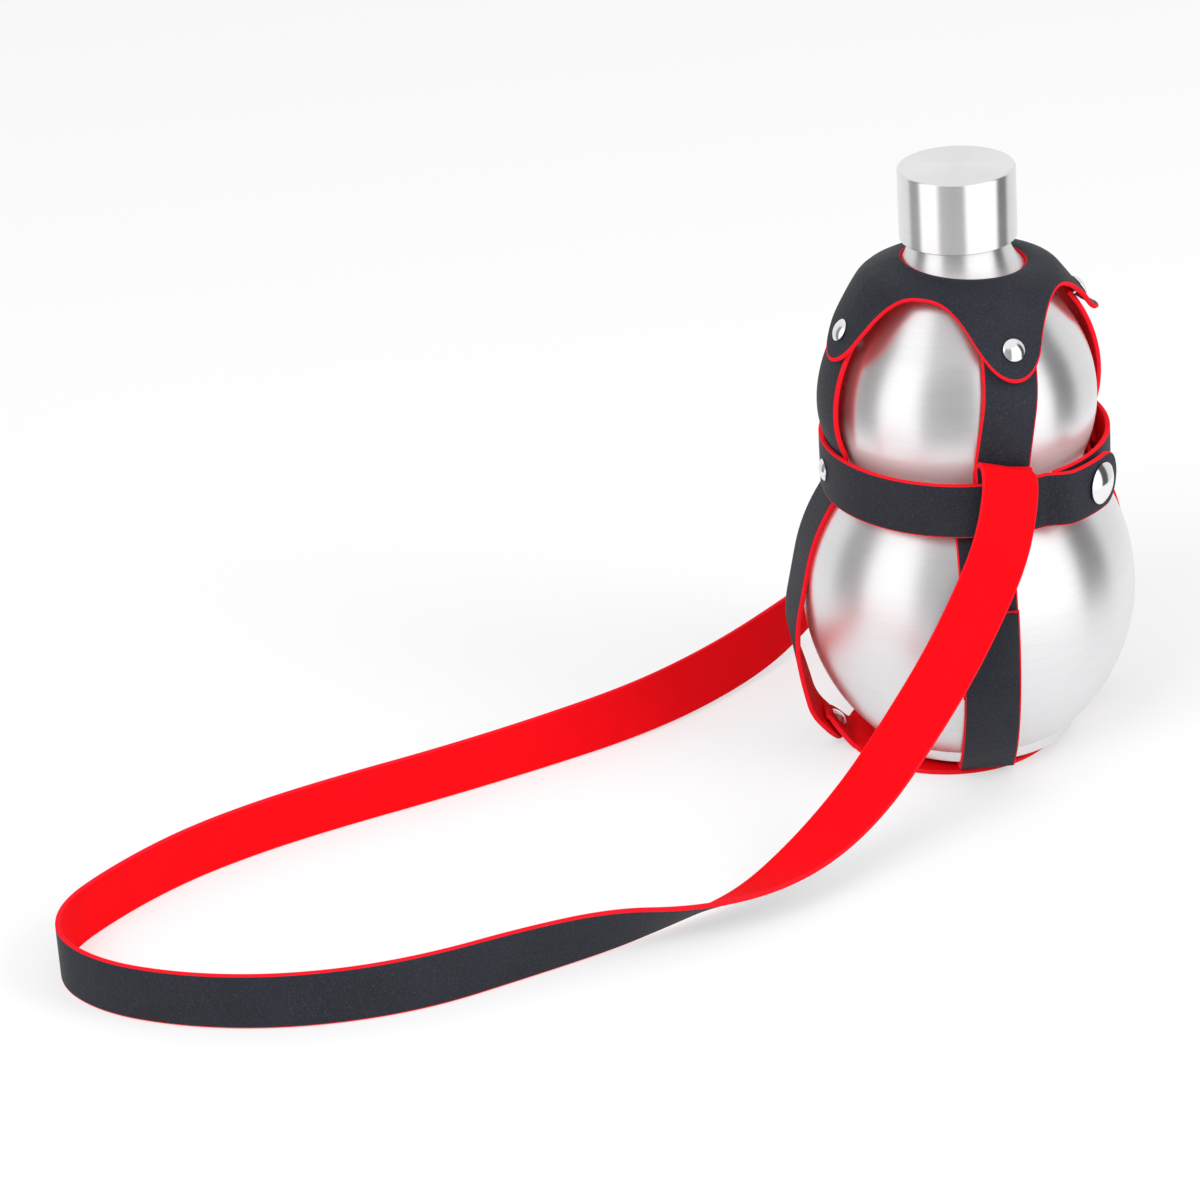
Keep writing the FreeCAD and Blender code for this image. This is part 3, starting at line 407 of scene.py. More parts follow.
def new_piece(name, mesh, nodes, body="bottle"):
    """Object for a mesh that stands for CAD nodes and moves with a body."""
    made = add_object(name, mesh)
    if body:
        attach(made, body)
    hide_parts(*nodes)
    return made


def refinish(node, finish):
    """Finish of a CAD part that is shown as it is."""
    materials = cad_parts[node].data.materials
    materials.clear()
    materials.append(finish)


def turned_grid(profile, count=160):
    """Surface of revolution: each profile point's radius times the sine and cosine of the turn."""
    turn = np.linspace(0.0, 2 * np.pi, count, endpoint=False)
    radius, height = np.asarray(profile, float).T
    x = radius[:, None] * np.sin(turn)
    y = -radius[:, None] * np.cos(turn)
    return np.stack([x, y, np.broadcast_to(height[:, None], x.shape)], axis=-1)


def leaned_grid(grid, place, direction):
    """A grid made along +Z, moved to a place and turned to a direction."""
    turn = np.array(Vector((0, 0, 1)).rotation_difference(Vector(direction)).to_matrix())
    return grid @ turn.T + np.asarray(place)


def leather_section(face_count):
    """Cut of a strap, once round: the share across the face, the reach past the face's end, the height
    through the leather, and its finish."""
    face = np.linspace(-1.0, 1.0, face_count)
    rim = np.radians([60.0, 30.0, 0.0])
    edge_out = EDGE_ROUNDING * np.cos(rim)
    edge_up = LEATHER / 2 - EDGE_ROUNDING + EDGE_ROUNDING * np.sin(rim)
    ones = np.ones(2 * len(rim))
    side = np.concatenate([edge_out, edge_out[::-1]])
    rise = np.concatenate([edge_up, -edge_up[::-1]])
    share = np.concatenate([face, ones, face[::-1], -ones])
    reach = np.concatenate([np.zeros(face_count), side, np.zeros(face_count), -side])
    through = np.concatenate([np.full(face_count, LEATHER / 2), rise,
                              np.full(face_count, -LEATHER / 2), rise[::-1]])
    finish = np.full(len(share), CUT)
    finish[:face_count - 1] = GRAIN
    finish[face_count + len(ones):2 * face_count + len(ones) - 1] = FLESH
    return share, reach, through, finish


def strap_grid(centre, across, width=STRAP_WIDTH, curl=0.0, grain_side=1.0):
    """Leather band carried along a line. A point is the line's point, plus its place across, plus its place
    through the leather, which sinks by half the curl times the square of the place across. Both ends
    close in two steps and show the red cut."""
    share, reach, through, finish = leather_section(STRAP_COLUMNS)
    ahead = unit(np.gradient(centre, axis=0))
    across = unit(across - ahead * np.sum(across * ahead, axis=1, keepdims=True))
    normal = np.cross(across, ahead) * grain_side
    half = np.broadcast_to(np.asarray(width, float), centre.shape[:1]) / 2
    place = (half[:, None] - EDGE_ROUNDING) * share + reach
    rise = through - 0.5 * curl * place ** 2
    grid = centre[:, None] + across[:, None] * place[..., None] + normal[:, None] * rise[..., None]
    sink = normal[:, None] * through[None, :, None]
    sunk = grid - sink
    half_sunk = grid - sink * END_SINK
    step = ahead[[0, -1]] * EDGE_ROUNDING * END_STEP
    first = [sunk[:1] - step[0], half_sunk[:1] - step[0]]
    last = [half_sunk[-1:] + step[1], sunk[-1:] + step[1]]
    face_finish = np.full((len(centre) + 3, len(finish)), CUT)
    face_finish[2:-2] = finish
    return np.concatenate(first + [grid] + last), False, True, face_finish


def round_end(centre):
    """Width of a band that ends in a half round: the circle's chord over the last half width."""
    lengths = length_along(centre)
    left = np.clip((lengths[-1] - lengths) / (STRAP_WIDTH / 2), 0.0, 1.0)
    return STRAP_WIDTH * np.sqrt(np.maximum(1.0 - (1.0 - left) ** 2, LEAST_END))


def metal_piece(name, grids, finish, node, body="bottle"):
    """Piece of one metal that stands for one CAD node."""
    new_piece(name, solid_mesh(name, grids, [finish], METAL_SHARP), [node], body)


def leather_piece(name, grids, nodes, body="bottle"):
    """Piece of bicolour leather: black grain outside, red flesh side and cut edges."""
    mesh = solid_mesh(name, grids, [black_grain, red_flesh, red_cut], LEATHER_SHARP)
    return new_piece(name, mesh, nodes, body)


# Finishes

class Term:
    """A shader value that adds Math nodes when it is added, taken away, multiplied or divided."""

    def __init__(self, finish, socket):
        self.finish = finish
        self.socket = socket

    def sum(self, kind, first, second):
        """Math node of one kind."""
        return self.finish.node("Math", {0: first, 1: second}, {"operation": kind})

    def __add__(self, other):
        return self.sum("ADD", self, other)

    __radd__ = __add__

    def __sub__(self, other):
        return self.sum("SUBTRACT", self, other)

    def __rsub__(self, other):
        return self.sum("SUBTRACT", other, self)

    def __mul__(self, other):
        return self.sum("MULTIPLY", self, other)

    __rmul__ = __mul__

    def __truediv__(self, other):
        return self.sum("DIVIDE", self, other)

    def __rtruediv__(self, other):
        return self.sum("DIVIDE", other, self)


class Finish:
    """Node tree of one material or of the world."""

    def __init__(self, owner):
        owner.use_nodes = True
        self.owner = owner
        self.tree = owner.node_tree
        self.tree.nodes.clear()

    def node(self, kind, inputs=None, settings=None, output=0):
        """Add a shader node with values or links on its sockets, and with settings. Gives one output."""
        made = self.tree.nodes.new("ShaderNode" + kind)
        for name, value in (settings or {}).items():
            if name == "stops":
                ramp = made.color_ramp.elements
                while len(ramp) < len(value):
                    ramp.new(0.5)
                for element, (place, colour) in zip(ramp, value):
                    element.position = place
                    element.color = colour
            else:
                setattr(made, name, value)
        for name, value in (inputs or {}).items():
            if isinstance(value, Term):
                self.tree.links.new(value.socket, made.inputs[name])
            else:
                made.inputs[name].default_value = value
        return Term(self, made.outputs[output]) if made.outputs else None

    def place(self):
        """Coordinates of the piece."""
        return self.node("TexCoord", output="Object")

    def ray(self, kind):
        """Whether a ray is of a kind, 0 or 1."""
        return self.node("LightPath", output=kind)

    def blend(self, share, first, second):
        """Colour between two colours."""
        return self.node("Mix", {0: share, 6: first, 7: second}, {"data_type": "RGBA"}, output=2)

    def slide(self, value, low, high, first=0.0, last=1.0, kind="SMOOTHSTEP"):
        """Value that goes from first to last while another goes from low to high."""
        return self.node("MapRange", {0: value, 1: low, 2: high, 3: first, 4: last},
                         {"interpolation_type": kind})

    def noise(self, vector, scale, detail, stretch=(1.0, 1.0, 1.0)):
        """Noise on coordinates that are stretched first, 0 to 1."""
        wide = self.node("VectorMath", {0: vector, 1: stretch}, {"operation": "MULTIPLY"})
        return self.node("TexNoise", {"Vector": wide, "Scale": scale, "Detail": detail})

    def bump(self, height, strength, distance):
        """Normal of a surface that is raised by a height from 0 to 1."""
        return self.node("Bump", {"Strength": strength, "Distance": distance, "Height": height})

    def principled(self, inputs):
        """Principled shader on the surface output."""
        shader = self.node("BsdfPrincipled", inputs)
        self.node("OutputMaterial", {"Surface": shader})


def new_finish(name):
    """Empty material's node tree."""
    return Finish(bpy.data.materials.new(name))


def shade(colour, share=1.0):
    """Colour times a share, as a socket takes it."""
    return tuple(value * share for value in colour) + (1,)


def black_grain_finish():
    """Black leather: pebbles of about 1 mm, finer pores with pale specks that are painted glints, and a
    broad change of tone.
    """
    leather = new_finish("black_grain")
    place = leather.place()
    pebble = leather.node("TexVoronoi", {"Vector": place, "Scale": 900.0}, {"feature": "F1"})
    pore = leather.noise(place, scale=1900.0, detail=3.0)
    tone = leather.noise(place, scale=45.0, detail=3.0)
    # Pale specks where the fine pores are high: painted glints
    glint = leather.slide(pore, low=0.52, high=0.78, kind="LINEAR")
    ground = leather.blend(tone, shade(BLACK_DEEP), shade(BLACK_WORN))
    colour = leather.blend(glint * 0.6, ground, shade(BLACK_GLINT))
    bump = leather.bump(pore * 0.6 - pebble * 0.6, strength=0.6, distance=0.35 * MM)
    leather.principled({"Base Color": colour, "Roughness": 0.5 + tone * 0.2, "Normal": bump,
                        "Specular IOR Level": 0.2})
    return leather.owner


def red_finish(name, dark, light):
    """Red suede or its cut: short fibres and a soft change of tone."""
    leather = new_finish(name)
    place = leather.place()
    fibre = leather.noise(place, scale=1800.0, detail=4.0)
    tone = leather.noise(place, scale=90.0, detail=2.0)
    colour = leather.blend(tone * 0.4 + fibre * 0.6, shade(dark), shade(light))
    bump = leather.bump(fibre, strength=0.3, distance=0.2 * MM)
    leather.principled({"Base Color": colour, "Roughness": 0.75 + fibre * 0.2, "Normal": bump,
                        "Specular IOR Level": 0.08})
    return leather.owner


def brushed_finish(name, base, roughness, anisotropy, dulled=0.0):
    """Steel brushed round the axis: streaks are noise that is long round the axis and fine along it. The
    waist can be duller than the rest."""
    steel = new_finish(name)
    place = steel.place()
    streak = steel.noise(place, scale=1.0, detail=3.0, stretch=(90.0, 90.0, 3200.0))
    cloud = steel.noise(place, scale=1.0, detail=2.0, stretch=(25.0, 25.0, 500.0))
    colour = steel.blend(streak * 0.65 + cloud * 0.35, shade(base, 0.84), shade(base))
    bump = steel.bump(streak, strength=0.03, distance=0.05 * MM)
    height = steel.node("SeparateXYZ", {0: place}, output=2)
    low, middle, high = WAIST_DULL
    above = steel.slide(height, middle, high, first=1.0, last=0.0)
    below = steel.slide(height, low, middle)
    steel.principled({"Base Color": colour, "Metallic": 0.92 - above * below * dulled, "Normal": bump,
                      "Roughness": roughness + (streak - 0.5) * 0.1, "Anisotropic": anisotropy,
                      "Anisotropic Rotation": 0.25})
    return steel.owner


def polished_finish(name, base, roughness):
    """Plated metal with faint handling marks."""
    metal = new_finish(name)
    marks = metal.noise(metal.place(), scale=700.0, detail=3.0)
    colour = metal.blend(marks, shade(base, 0.93), shade(base))
    metal.principled({"Base Color": colour, "Metallic": 1.0, "Roughness": roughness + marks * 0.05})
    return metal.owner


def moulded_finish(name, base, roughness):
    """Moulded plastic or silicone with a faint texture."""
    plastic = new_finish(name)
    grain = plastic.noise(plastic.place(), scale=1500.0, detail=2.0)
    colour = plastic.blend(grain, shade(base, 0.9), shade(base))
    bump = plastic.bump(grain, strength=0.1, distance=0.05 * MM)
    plastic.principled({"Base Color": colour, "Roughness": roughness + grain * 0.1, "Normal": bump})
    return plastic.owner


black_grain = black_grain_finish()
red_flesh = red_finish("red_flesh", dark=(0.70, 0.0015, 0.004), light=(0.95, 0.003, 0.009))
# The cut edges take a lighter, pinker red than the flesh side: a painted highlight along the edges
red_cut = red_finish("red_cut", dark=(0.78, 0.004, 0.012), light=(0.93, 0.016, 0.03))
bottle_steel = brushed_finish("bottle_steel", STEEL, roughness=0.33, anisotropy=0.7, dulled=0.6)
ring_steel = brushed_finish("ring_steel", STEEL, roughness=0.26, anisotropy=0.6)
cap_steel = brushed_finish("cap_steel", (0.87, 0.87, 0.885), roughness=0.24, anisotropy=0.85)
nickel = polished_finish("nickel", (0.90, 0.90, 0.91), roughness=0.08)
liner_plastic = moulded_finish("liner_plastic", (0.05, 0.05, 0.055), roughness=0.45)
seal_silicone = moulded_finish("seal_silicone", (0.72, 0.71, 0.68), roughness=0.5)


# Steel bottle

def angle_between(start, end):
    """Angle of the line between two (radius, height) points, in degrees."""
    return math.degrees(math.atan2(end[1] - start[1], end[0] - start[0]))


def waist_place():
    """Centre of the waist's hollow: the belly's arc plus the fillet from the belly's centre, and the head's
    radius plus the fillet from the head's."""
    low = BELLY_ARC + WAIST_FILLET
    high = HEAD_RADIUS + WAIST_FILLET
    apart = head_centre - belly_centre
    length = np.linalg.norm(apart)
    along = (low ** 2 - high ** 2 + length ** 2) / (2 * length)
    aside = math.sqrt(low ** 2 - along ** 2)
    way = apart / length
    return belly_centre + way * along + np.array([way[1], -way[0]]) * aside


waist_centre = waist_place()
shoulder_out = toward(math.radians(90.0 - SHOULDER_SLOPE))
shoulder_start = shoulder_centre + shoulder_out * HEAD_ARC


def belly_line(inset):
    """Belly from its floor to the seam at the waist, on the outer face or a wall inside it."""
    radius = BELLY_ARC - inset
    low = math.degrees(math.asin((foot_top + inset - BELLY_Z) / radius))
    high = angle_between(belly_centre, waist_centre)
    belly = arc(belly_centre, radius, low, high, count=60)
    hollow = arc(waist_centre, WAIST_FILLET + inset, high + 180.0, 180.0, count=8)[1:]
    floor = np.linspace((0.0, foot_top + inset), (belly[0, 0], foot_top + inset), 8)[:-1]
    return np.concatenate([floor, belly, hollow])


def head_line(inset):
    """Head from the seam at the waist to the neck, on the outer face or a wall inside it. Half a sine wave
    hollows the shoulder below the neck."""
    low = angle_between(head_centre, waist_centre)
    hollow = arc(waist_centre, WAIST_FILLET + inset, 180.0, low + 180.0, count=8)
    ball = arc(head_centre, HEAD_RADIUS - inset, low, 0.0, count=24)[1:]
    dome = arc(shoulder_centre, HEAD_ARC - inset, 0.0, 90.0 - SHOULDER_SLOPE, count=24)[1:]
    top = (neck_radius - inset / math.sin(math.radians(SHOULDER_SLOPE)), neck_z)
    cone = np.linspace(dome[-1], top, 30)[1:]
    line = np.concatenate([hollow, ball, dome, cone])
    share = np.clip((line[:, 1] - neck_z + NECK_FLARE) / NECK_FLARE, 0.0, 1.0)
    line[:, 0] -= NECK_DIP * np.sin(np.pi * share)
    return line


def make_bottle():
    """Two shells and the foot ring, each turned from its outer and its inner line."""
    for node, line in (("lower_shell", belly_line), ("upper_shell", head_line)):
        profile = np.concatenate([line(0.0), line(WALL)[::-1]])
        wrap = node == "upper_shell"
        grid = (turned_grid(profile), wrap, True, 0)
        metal_piece(node + "_steel", [grid], bottle_steel, node)
    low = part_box("foot_ring")[0].z
    inner = foot_radius - FOOT_WALL
    lip = 0.4 * MM
    ring = [(inner, low), (foot_radius - lip, low), (foot_radius, low + lip), (foot_radius, foot_top),
            (inner, foot_top)]
    grid = (turned_grid(ring), True, True, 0)
    metal_piece("foot_ring_steel", [grid], ring_steel, "foot_ring")
    refinish("neck_ring", ring_steel)


def make_cap():
    """Steel cup with a rounded top edge and a rolled lower lip, over its liner and seal."""
    edge = 1.0 * MM
    lip = 0.35 * MM
    inner = cap_radius - WALL
    under = cap_top - WALL
    outer = arc(np.array([cap_radius - edge, cap_top - edge]), edge, 0.0, 90.0, count=8)
    profile = [(0.0, under), (inner, under), (inner, cap_bottom), (cap_radius - lip, cap_bottom),
               (cap_radius, cap_bottom + lip)] + outer.tolist() + [(0.0, cap_top)]
    grid = (turned_grid(profile), False, True, 0)
    metal_piece("cap_steel", [grid], cap_steel, "cap_shell", "cap")
    refinish("cap_liner", liner_plastic)
    refinish("cap_seal", seal_silicone)


make_bottle()
make_cap()


# Collar and upper straps

rim_height = (shoulder_start[0] - COLLAR_HOLE) * math.tan(math.radians(SHOULDER_SLOPE)) + COLLAR_RISE
collar_rim = np.array([COLLAR_HOLE, shoulder_start[1] + rim_height])
root_run = (LOBE_ROOT - COLLAR_HOLE) / math.cos(math.radians(COLLAR_SLOPE))
lobe_root = collar_rim + slope_down(COLLAR_SLOPE) * root_run
lobe_knee = lobe_root + slope_down(LOBE_SLOPE) * LOBE_LENGTH
lobe_end = lobe_knee + slope_down(LOBE_TIP_SLOPE) * LOBE_DROP
lobe_lean = math.radians((LOBE_SLOPE + LOBE_TIP_SLOPE) / 2)
lobe_out = toward(math.pi / 2 - lobe_lean)
half_bend = math.radians((LOBE_TIP_SLOPE - LOBE_SLOPE) / 2)
strap_knee = lobe_knee - lobe_out * (LEATHER + COLLAR_GAP) / math.cos(half_bend)
strap_top = strap_knee - slope_down(LOBE_SLOPE) * STRAP_TOP_RUN


def collar_reach(azimuth):
    """Plan radius of the collar's edge: round tips, and hollow arcs that touch them between the lobes. The
    arc right of the front lobe is the shallowest."""
    deep = np.where((azimuth - UPPER_TURN) % 360.0 < LOBE_STEP, SCALLOP_RIGHT, SCALLOP_RADIUS)
    middle = lobe_end[0] - LOBE_TRIM - LOBE_TIP
    half_step = math.radians(LOBE_STEP / 2)
    spread = middle * math.cos(half_step)
    hollow = middle ** 2 + deep ** 2 - 2 * deep * spread - LOBE_TIP ** 2
    hollow = hollow / (2 * (LOBE_TIP + spread - deep))
    far = deep + hollow
    from_lobe = np.radians(np.abs((azimuth - UPPER_TURN + LOBE_STEP / 2) % LOBE_STEP - LOBE_STEP / 2))
    from_scallop = half_step - from_lobe
    spot = far * math.cos(half_step)
    touch = LOBE_TIP * unit(np.stack([spot - middle, spot], axis=-1)) + np.array([middle, 0.0])
    tip_chord = np.maximum(LOBE_TIP ** 2 - (middle * np.sin(from_lobe)) ** 2, 0.0)
    tip = middle * np.cos(from_lobe) + np.sqrt(tip_chord)
    hollow_chord = np.maximum(hollow ** 2 - (far * np.sin(from_scallop)) ** 2, 0.0)
    scallop = far * np.cos(from_scallop) - np.sqrt(hollow_chord)
    return np.where(from_lobe < np.arctan2(touch[..., 1], touch[..., 0]), tip, scallop)


def near_lobe(azimuth, side, spread):
    """Column that is 1 at the middle of a side's lobe and falls evenly to 0 within the spread."""
    return np.clip(1.0 - np.abs(azimuth - QUARTERS[side] - UPPER_TURN) / spread, 0.0, 1.0)[:, None]


def make_collar():
    """Dome round the neck: at each azimuth the leather's cut runs along the dome's line from the hole,
    which has slipped to the right by a sine, to the lobed edge, and its thickness stands on the line's
    normal. The rim sags by a square, more on the right, the back sinks by a cosine, the left lobe swells by
    half a sine wave, and the right lobe's tip curls up by a square."""
    azimuth = np.linspace(0.0, 360.0, 720, endpoint=False)
    tip = lobe_end + slope_down(LOBE_TIP_SLOPE) * LOBE_DROP
    line = rounded([collar_rim + RIM_RUN, collar_rim, lobe_root, lobe_knee, tip],
                   [COLLAR_BEND, COLLAR_BEND, LOBE_BEND], count=260)
    steep = np.gradient(line[:, 1]) / np.gradient(line[:, 0])
    share, reach, through, finish = leather_section(COLLAR_COLUMNS)
    slip = np.sin(np.radians(azimuth))[:, None]
    hole = COLLAR_HOLE - HOLE_SHRINK + HOLE_SLIP * slip
    half = (collar_reach(azimuth)[:, None] - hole) / 2
    radius = hole + half + share * (half - EDGE_ROUNDING) + reach
    height = np.interp(radius, line[:, 0], line[:, 1])
    slope = np.interp(radius, line[:, 0], steep)
    sag = np.clip(1.0 - (radius - hole) / (LOBE_ROOT - hole), 0.0, 1.0) ** 2
    back = np.clip(-np.cos(np.radians(azimuth)), 0.0, 1.0)[:, None]
    fall = 1.0 - np.clip((radius - LOBE_ROOT) / BACK_FADE, 0.0, 1.0)
    swell = np.sin(np.pi * np.clip((radius - SWELL_START) / SWELL_RUN, 0.0, 1.0))
    swell = swell * near_lobe(azimuth, "left", SWELL_SPREAD)
    sag = (RIM_SAG + RIM_SAG_RIGHT * slip) * sag
    height = height - sag + SWELL_RISE * swell - BACK_SINK * back * fall
    past = np.clip((radius - lobe_knee[0]) / (lobe_end[0] - lobe_knee[0]), 0.0, 1.0)
    curl = past ** 2 * near_lobe(azimuth, "right", CURL_SPREAD)
    long = np.hypot(1.0, slope)
    radius = radius - slope / long * through + CURL_OUT * curl
    height = height + through / long + CURL_UP * curl
    grid = outwards(azimuth)[:, None] * radius[..., None] + UP * height[..., None]
    leather_piece("collar_leather", [(grid, True, True, finish)], ["neck_collar"])


def bow(first, second, third, last, count):
    """Cubic curve: its four points weighted by powers of the share and of what is left of it."""
    share = np.linspace(0.0, 1.0, count)[:, None]
    left = 1.0 - share
    inner = 3 * left ** 2 * share * second + 3 * left * share ** 2 * third
    return left ** 3 * first + inner + share ** 3 * last


def make_upper_straps():
    """Each strap follows its (radius, height) line and leans aside evenly with height. The left and right
    ones bow outwards between belt and collar."""
    along = slope_down(LOBE_TIP_SLOPE)
    meeting = strap_knee + along * (tail_middle - strap_knee[0]) / along[0]
    bottom = np.array([tail_middle, tail_low])
    tight = rounded([bottom, meeting, strap_knee, strap_top], [LOBE_BEND, LOBE_BEND], count=90)
    low = np.array([tail_middle, belt_high])
    for side, quarter in QUARTERS.items():
        line = tight
        if side in STRAP_BOWS:
            out = np.array([STRAP_BOWS[side], 0.0])
            bend = bow(low, low + out + BOW_LOW, strap_knee + out + BOW_HIGH, strap_knee, count=60)
            line = even_steps(np.concatenate([[bottom], bend, [strap_top]]), count=120)
        start = LEAN_STARTS.get(side, RIVET_TURN)
        lean = np.clip((line[:, 1] - belt_high) / (strap_knee[1] - belt_high), 0.0, 1.0)
        azimuth = quarter + start + (LEAN_ENDS.get(side, UPPER_TURN) - start) * lean
        grid = strap_grid(at_azimuth(line, azimuth), sideways(azimuth), curl=1.0 / HEAD_RADIUS)
        leather_piece(f"upper_strap_{side}_leather", [grid], [f"upper_strap_{side}"])


make_collar()
make_upper_straps()


# Lower straps, foot strap and sole

def hugging_corners(leave):
    """Corners and radii of a strap's line from its bend below the belt along the belly's arc, and where and
    which way it leaves the arc."""
    across = lower_middle + STRAP_BEND - belly_centre[0]
    top = math.sqrt((snug_radius + STRAP_BEND) ** 2 - across ** 2)
    turn = math.atan2(top, across)
    bend = (lower_middle, BELLY_Z + top - STRAP_BEND * math.tan(turn / 2))
    far = snug_radius / math.cos((turn - leave) / 2)
    corners = [(lower_middle, head_top), bend, belly_centre + toward((turn + leave) / 2) * far]
    end = belly_centre + toward(leave) * snug_radius
    return corners, [STRAP_BEND, snug_radius], end, slope_down(90.0 - math.degrees(leave))


def make_lower_straps():
    """Front, right and back straps lie on the belly's arc. The left one leaves it, twists as it hangs by a
    hyperbolic tangent of its height, and ends in a half round."""
    corners, radii, end = hugging_corners(math.asin((LOWER_STRAP_END - BELLY_Z) / snug_radius))[:3]
    snug = rounded(corners + [end], radii, count=110)
    corners, radii, end, heading = hugging_corners(math.radians(SLACK_LEAVE))
    out = end + heading * (end[1] - BELLY_Z + SLACK_DROP) / -heading[1]
    radii = radii + [SLACK_CURVE, SLACK_KNEE_BEND]
    loose = rounded(corners + [out, slack_knee, slack_foot], radii, count=160)
    azimuths = dict(QUARTERS, right=TAUT_AZIMUTH)
    for side, azimuth in azimuths.items():
        line = snug
        turn = azimuth
        width = STRAP_WIDTH
        curl = SNUG_CURL
        if side == "left":
            line = loose
            turn = azimuth + SLACK_TWIST * np.tanh((line[:, 1] - TWIST_Z) / TWIST_RUN)
            width = round_end(line)
            curl = SLACK_CURL
        grid = strap_grid(at_azimuth(line, azimuth), sideways(turn), width, curl, grain_side=-1.0)
        leather_piece(f"lower_strap_{side}_leather", [grid], [f"lower_strap_{side}"])


def sole_tab_line():
    """Start on the floor, direction and inward normal of the sole's tab inside the left strap."""
    ahead = unit(slack_knee - slack_foot)
    inwards = np.array([-ahead[1], ahead[0]])
    line = slack_foot + inwards * (LEATHER + LAYER_GAP)
    return line + ahead * (LEATHER / 2 - line[1]) / ahead[1], ahead, inwards


def arm_corners(top_z, under_z):
    """Corners of an arm from its top end, down the belly outside a strap, to its bend under the foot."""
    high = math.asin((top_z - BELLY_Z) / arm_radius)
    low = math.asin((foot_top - BELLY_Z) / arm_radius)
    top = belly_centre + toward(high) * arm_radius
    corner = belly_centre + toward((high + low) / 2) * arm_radius / math.cos((high - low) / 2)
    end = belly_centre + toward(low) * arm_radius
    heading = slope_down(90.0 - math.degrees(low))
    return [top, corner, end + heading * (end[1] - under_z) / -heading[1]]


def make_foot_strap():
    """Strip under the foot, whose ends climb the belly's arc in front and behind."""
    front = arm_corners(ARM_TOP, LEATHER * 1.5)
    back = [(-spot[0], spot[1]) for spot in reversed(front)]
    line = rounded(front + back, [arm_radius, ARM_BEND, ARM_BEND, arm_radius], count=260)
    grid = strap_grid(at_azimuth(line, 0.0), sideways(0.0), grain_side=-1.0)
    leather_piece("foot_strap_leather", [grid], ["foot_strap"])


def make_sole():
    """Disc with a rounded edge that has slipped aside, a short tab inside the left strap, and a long tab
    that climbs the belly outside the right strap. The short tab widens into the disc by a square."""
    lip = EDGE_ROUNDING
    low = SOLE_LIFT
    high = LEATHER - low
    disc = [(0.0, high), (SOLE_RADIUS - lip, high), (SOLE_RADIUS, high - lip), (SOLE_RADIUS, low + lip),
            (SOLE_RADIUS - lip, low), (0.0, low)]
    plate = turned_grid(disc, count=200) - np.array([SOLE_SHIFT, 0.0, 0.0])
    grids = [(plate, False, True, [[FLESH], [CUT], [CUT], [CUT], [GRAIN]])]
    start, ahead = sole_tab_line()[:2]
    inner = (SOLE_RADIUS - STRAP_WIDTH, LEATHER / 2)
    short = rounded([inner, start, start + ahead * TAB_LENGTH], [SOLE_BEND], count=60)
    climb = arm_corners(TAUT_TAB_TOP, LEATHER / 2)[::-1]
    tall = rounded([inner] + climb, [ARM_BEND, arm_radius], count=120)
    past = np.clip((short[:, 0] - SOLE_RADIUS - SOLE_SHIFT + FLARE_START) / FLARE_RUN, 0.0, 1.0)
    flare = (1.0 + FLARE * (1.0 - past) ** 2) * np.maximum(round_end(short), TAB_LEAST * STRAP_WIDTH)
    for line, azimuth, width in ((short, QUARTERS["left"], flare), (tall, TAUT_AZIMUTH, STRAP_WIDTH)):
        grids.append(strap_grid(at_azimuth(line, azimuth), sideways(azimuth), width=width))
    leather_piece("sole_leather", grids, ["sole"])


make_lower_straps()
make_foot_strap()
make_sole()


# Belt and its closing tab

def belt_plan(azimuth, growth):
    """Plan of the belt: an oval turned by the rivets' angle, grown by a length."""
    angle = np.radians(azimuth - RIVET_TURN)
    x = (belt_side + growth) * np.sin(angle)
    y = -(belt_front + growth) * np.cos(angle)
    turn = math.radians(RIVET_TURN)
    return np.stack([x * math.cos(turn) - y * math.sin(turn), x * math.sin(turn) + y * math.cos(turn),
                     np.full_like(x, belt_middle)], axis=-1)


def tab_rise(azimuth):
    """Lift of the tab: a cubic step from nothing at the hinge to clear of the belt's other end."""
    share = np.clip((azimuth - TAB_HINGE) / (BELT_END - TAB_HINGE - TAB_MARGIN), 0.0, 1.0)
    return (LEATHER + TAB_LIFT) * share ** 2 * (3 - 2 * share)


def make_belt():
    """Band round the waist from the closing end to the middle of the front."""
    azimuth = np.linspace(BELT_TUCK, 360.0 + RIVET_TURN, 330)
    centre = belt_plan(azimuth, LEATHER / 2)
    leather_piece("belt_leather", [strap_grid(centre, -UP)], ["waist_belt"])


def make_tab():
    """Free end of the belt. It bends at the hinge line and ends in a half round past the snap."""
    azimuth = np.linspace(RIVET_TURN, TAB_END, 110)
    centre = belt_plan(azimuth, LEATHER / 2 + tab_rise(azimuth))
    grid = strap_grid(centre, -UP, width=round_end(centre))
    tab = leather_piece("tab_leather", [grid], ["belt_tab"], body=None)
    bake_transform(tab)


make_belt()
make_tab()


# Rivets and snap

def dome_profile(radius, height, rim):
    """Low dome on a short rounded rim, from its flat side to its top."""
    ball = (radius ** 2 + height ** 2) / (2 * height)
    lip = rim * RIM_LIP
    start = math.degrees(math.asin(1 - height / ball))
    cap = arc(np.array([0.0, rim + height - ball]), ball, start, 90.0, count=14)
    return np.concatenate([[(0.0, 0.0), (radius - lip, 0.0), (radius, lip)], cap])


def rivet_grids(foot, direction, grip):
    """Dome with its flat side at the foot, a post behind it and a plate at the post's end."""
    dome = dome_profile(RIVET_RADIUS, RIVET_DOME, RIVET_RIM)
    post = [(0.0, -grip), (RIVET_POST, -grip), (RIVET_POST, 0.0), (0.0, 0.0)]
    end = -grip - RIVET_PLATE
    plate = [(0.0, end), (RIVET_RADIUS, end), (RIVET_RADIUS, -grip), (0.0, -grip)]
    grids = [turned_grid(profile, count=40) for profile in (dome, post, plate)]
    return [(leaned_grid(grid, foot, direction), False, True, 0) for grid in grids]


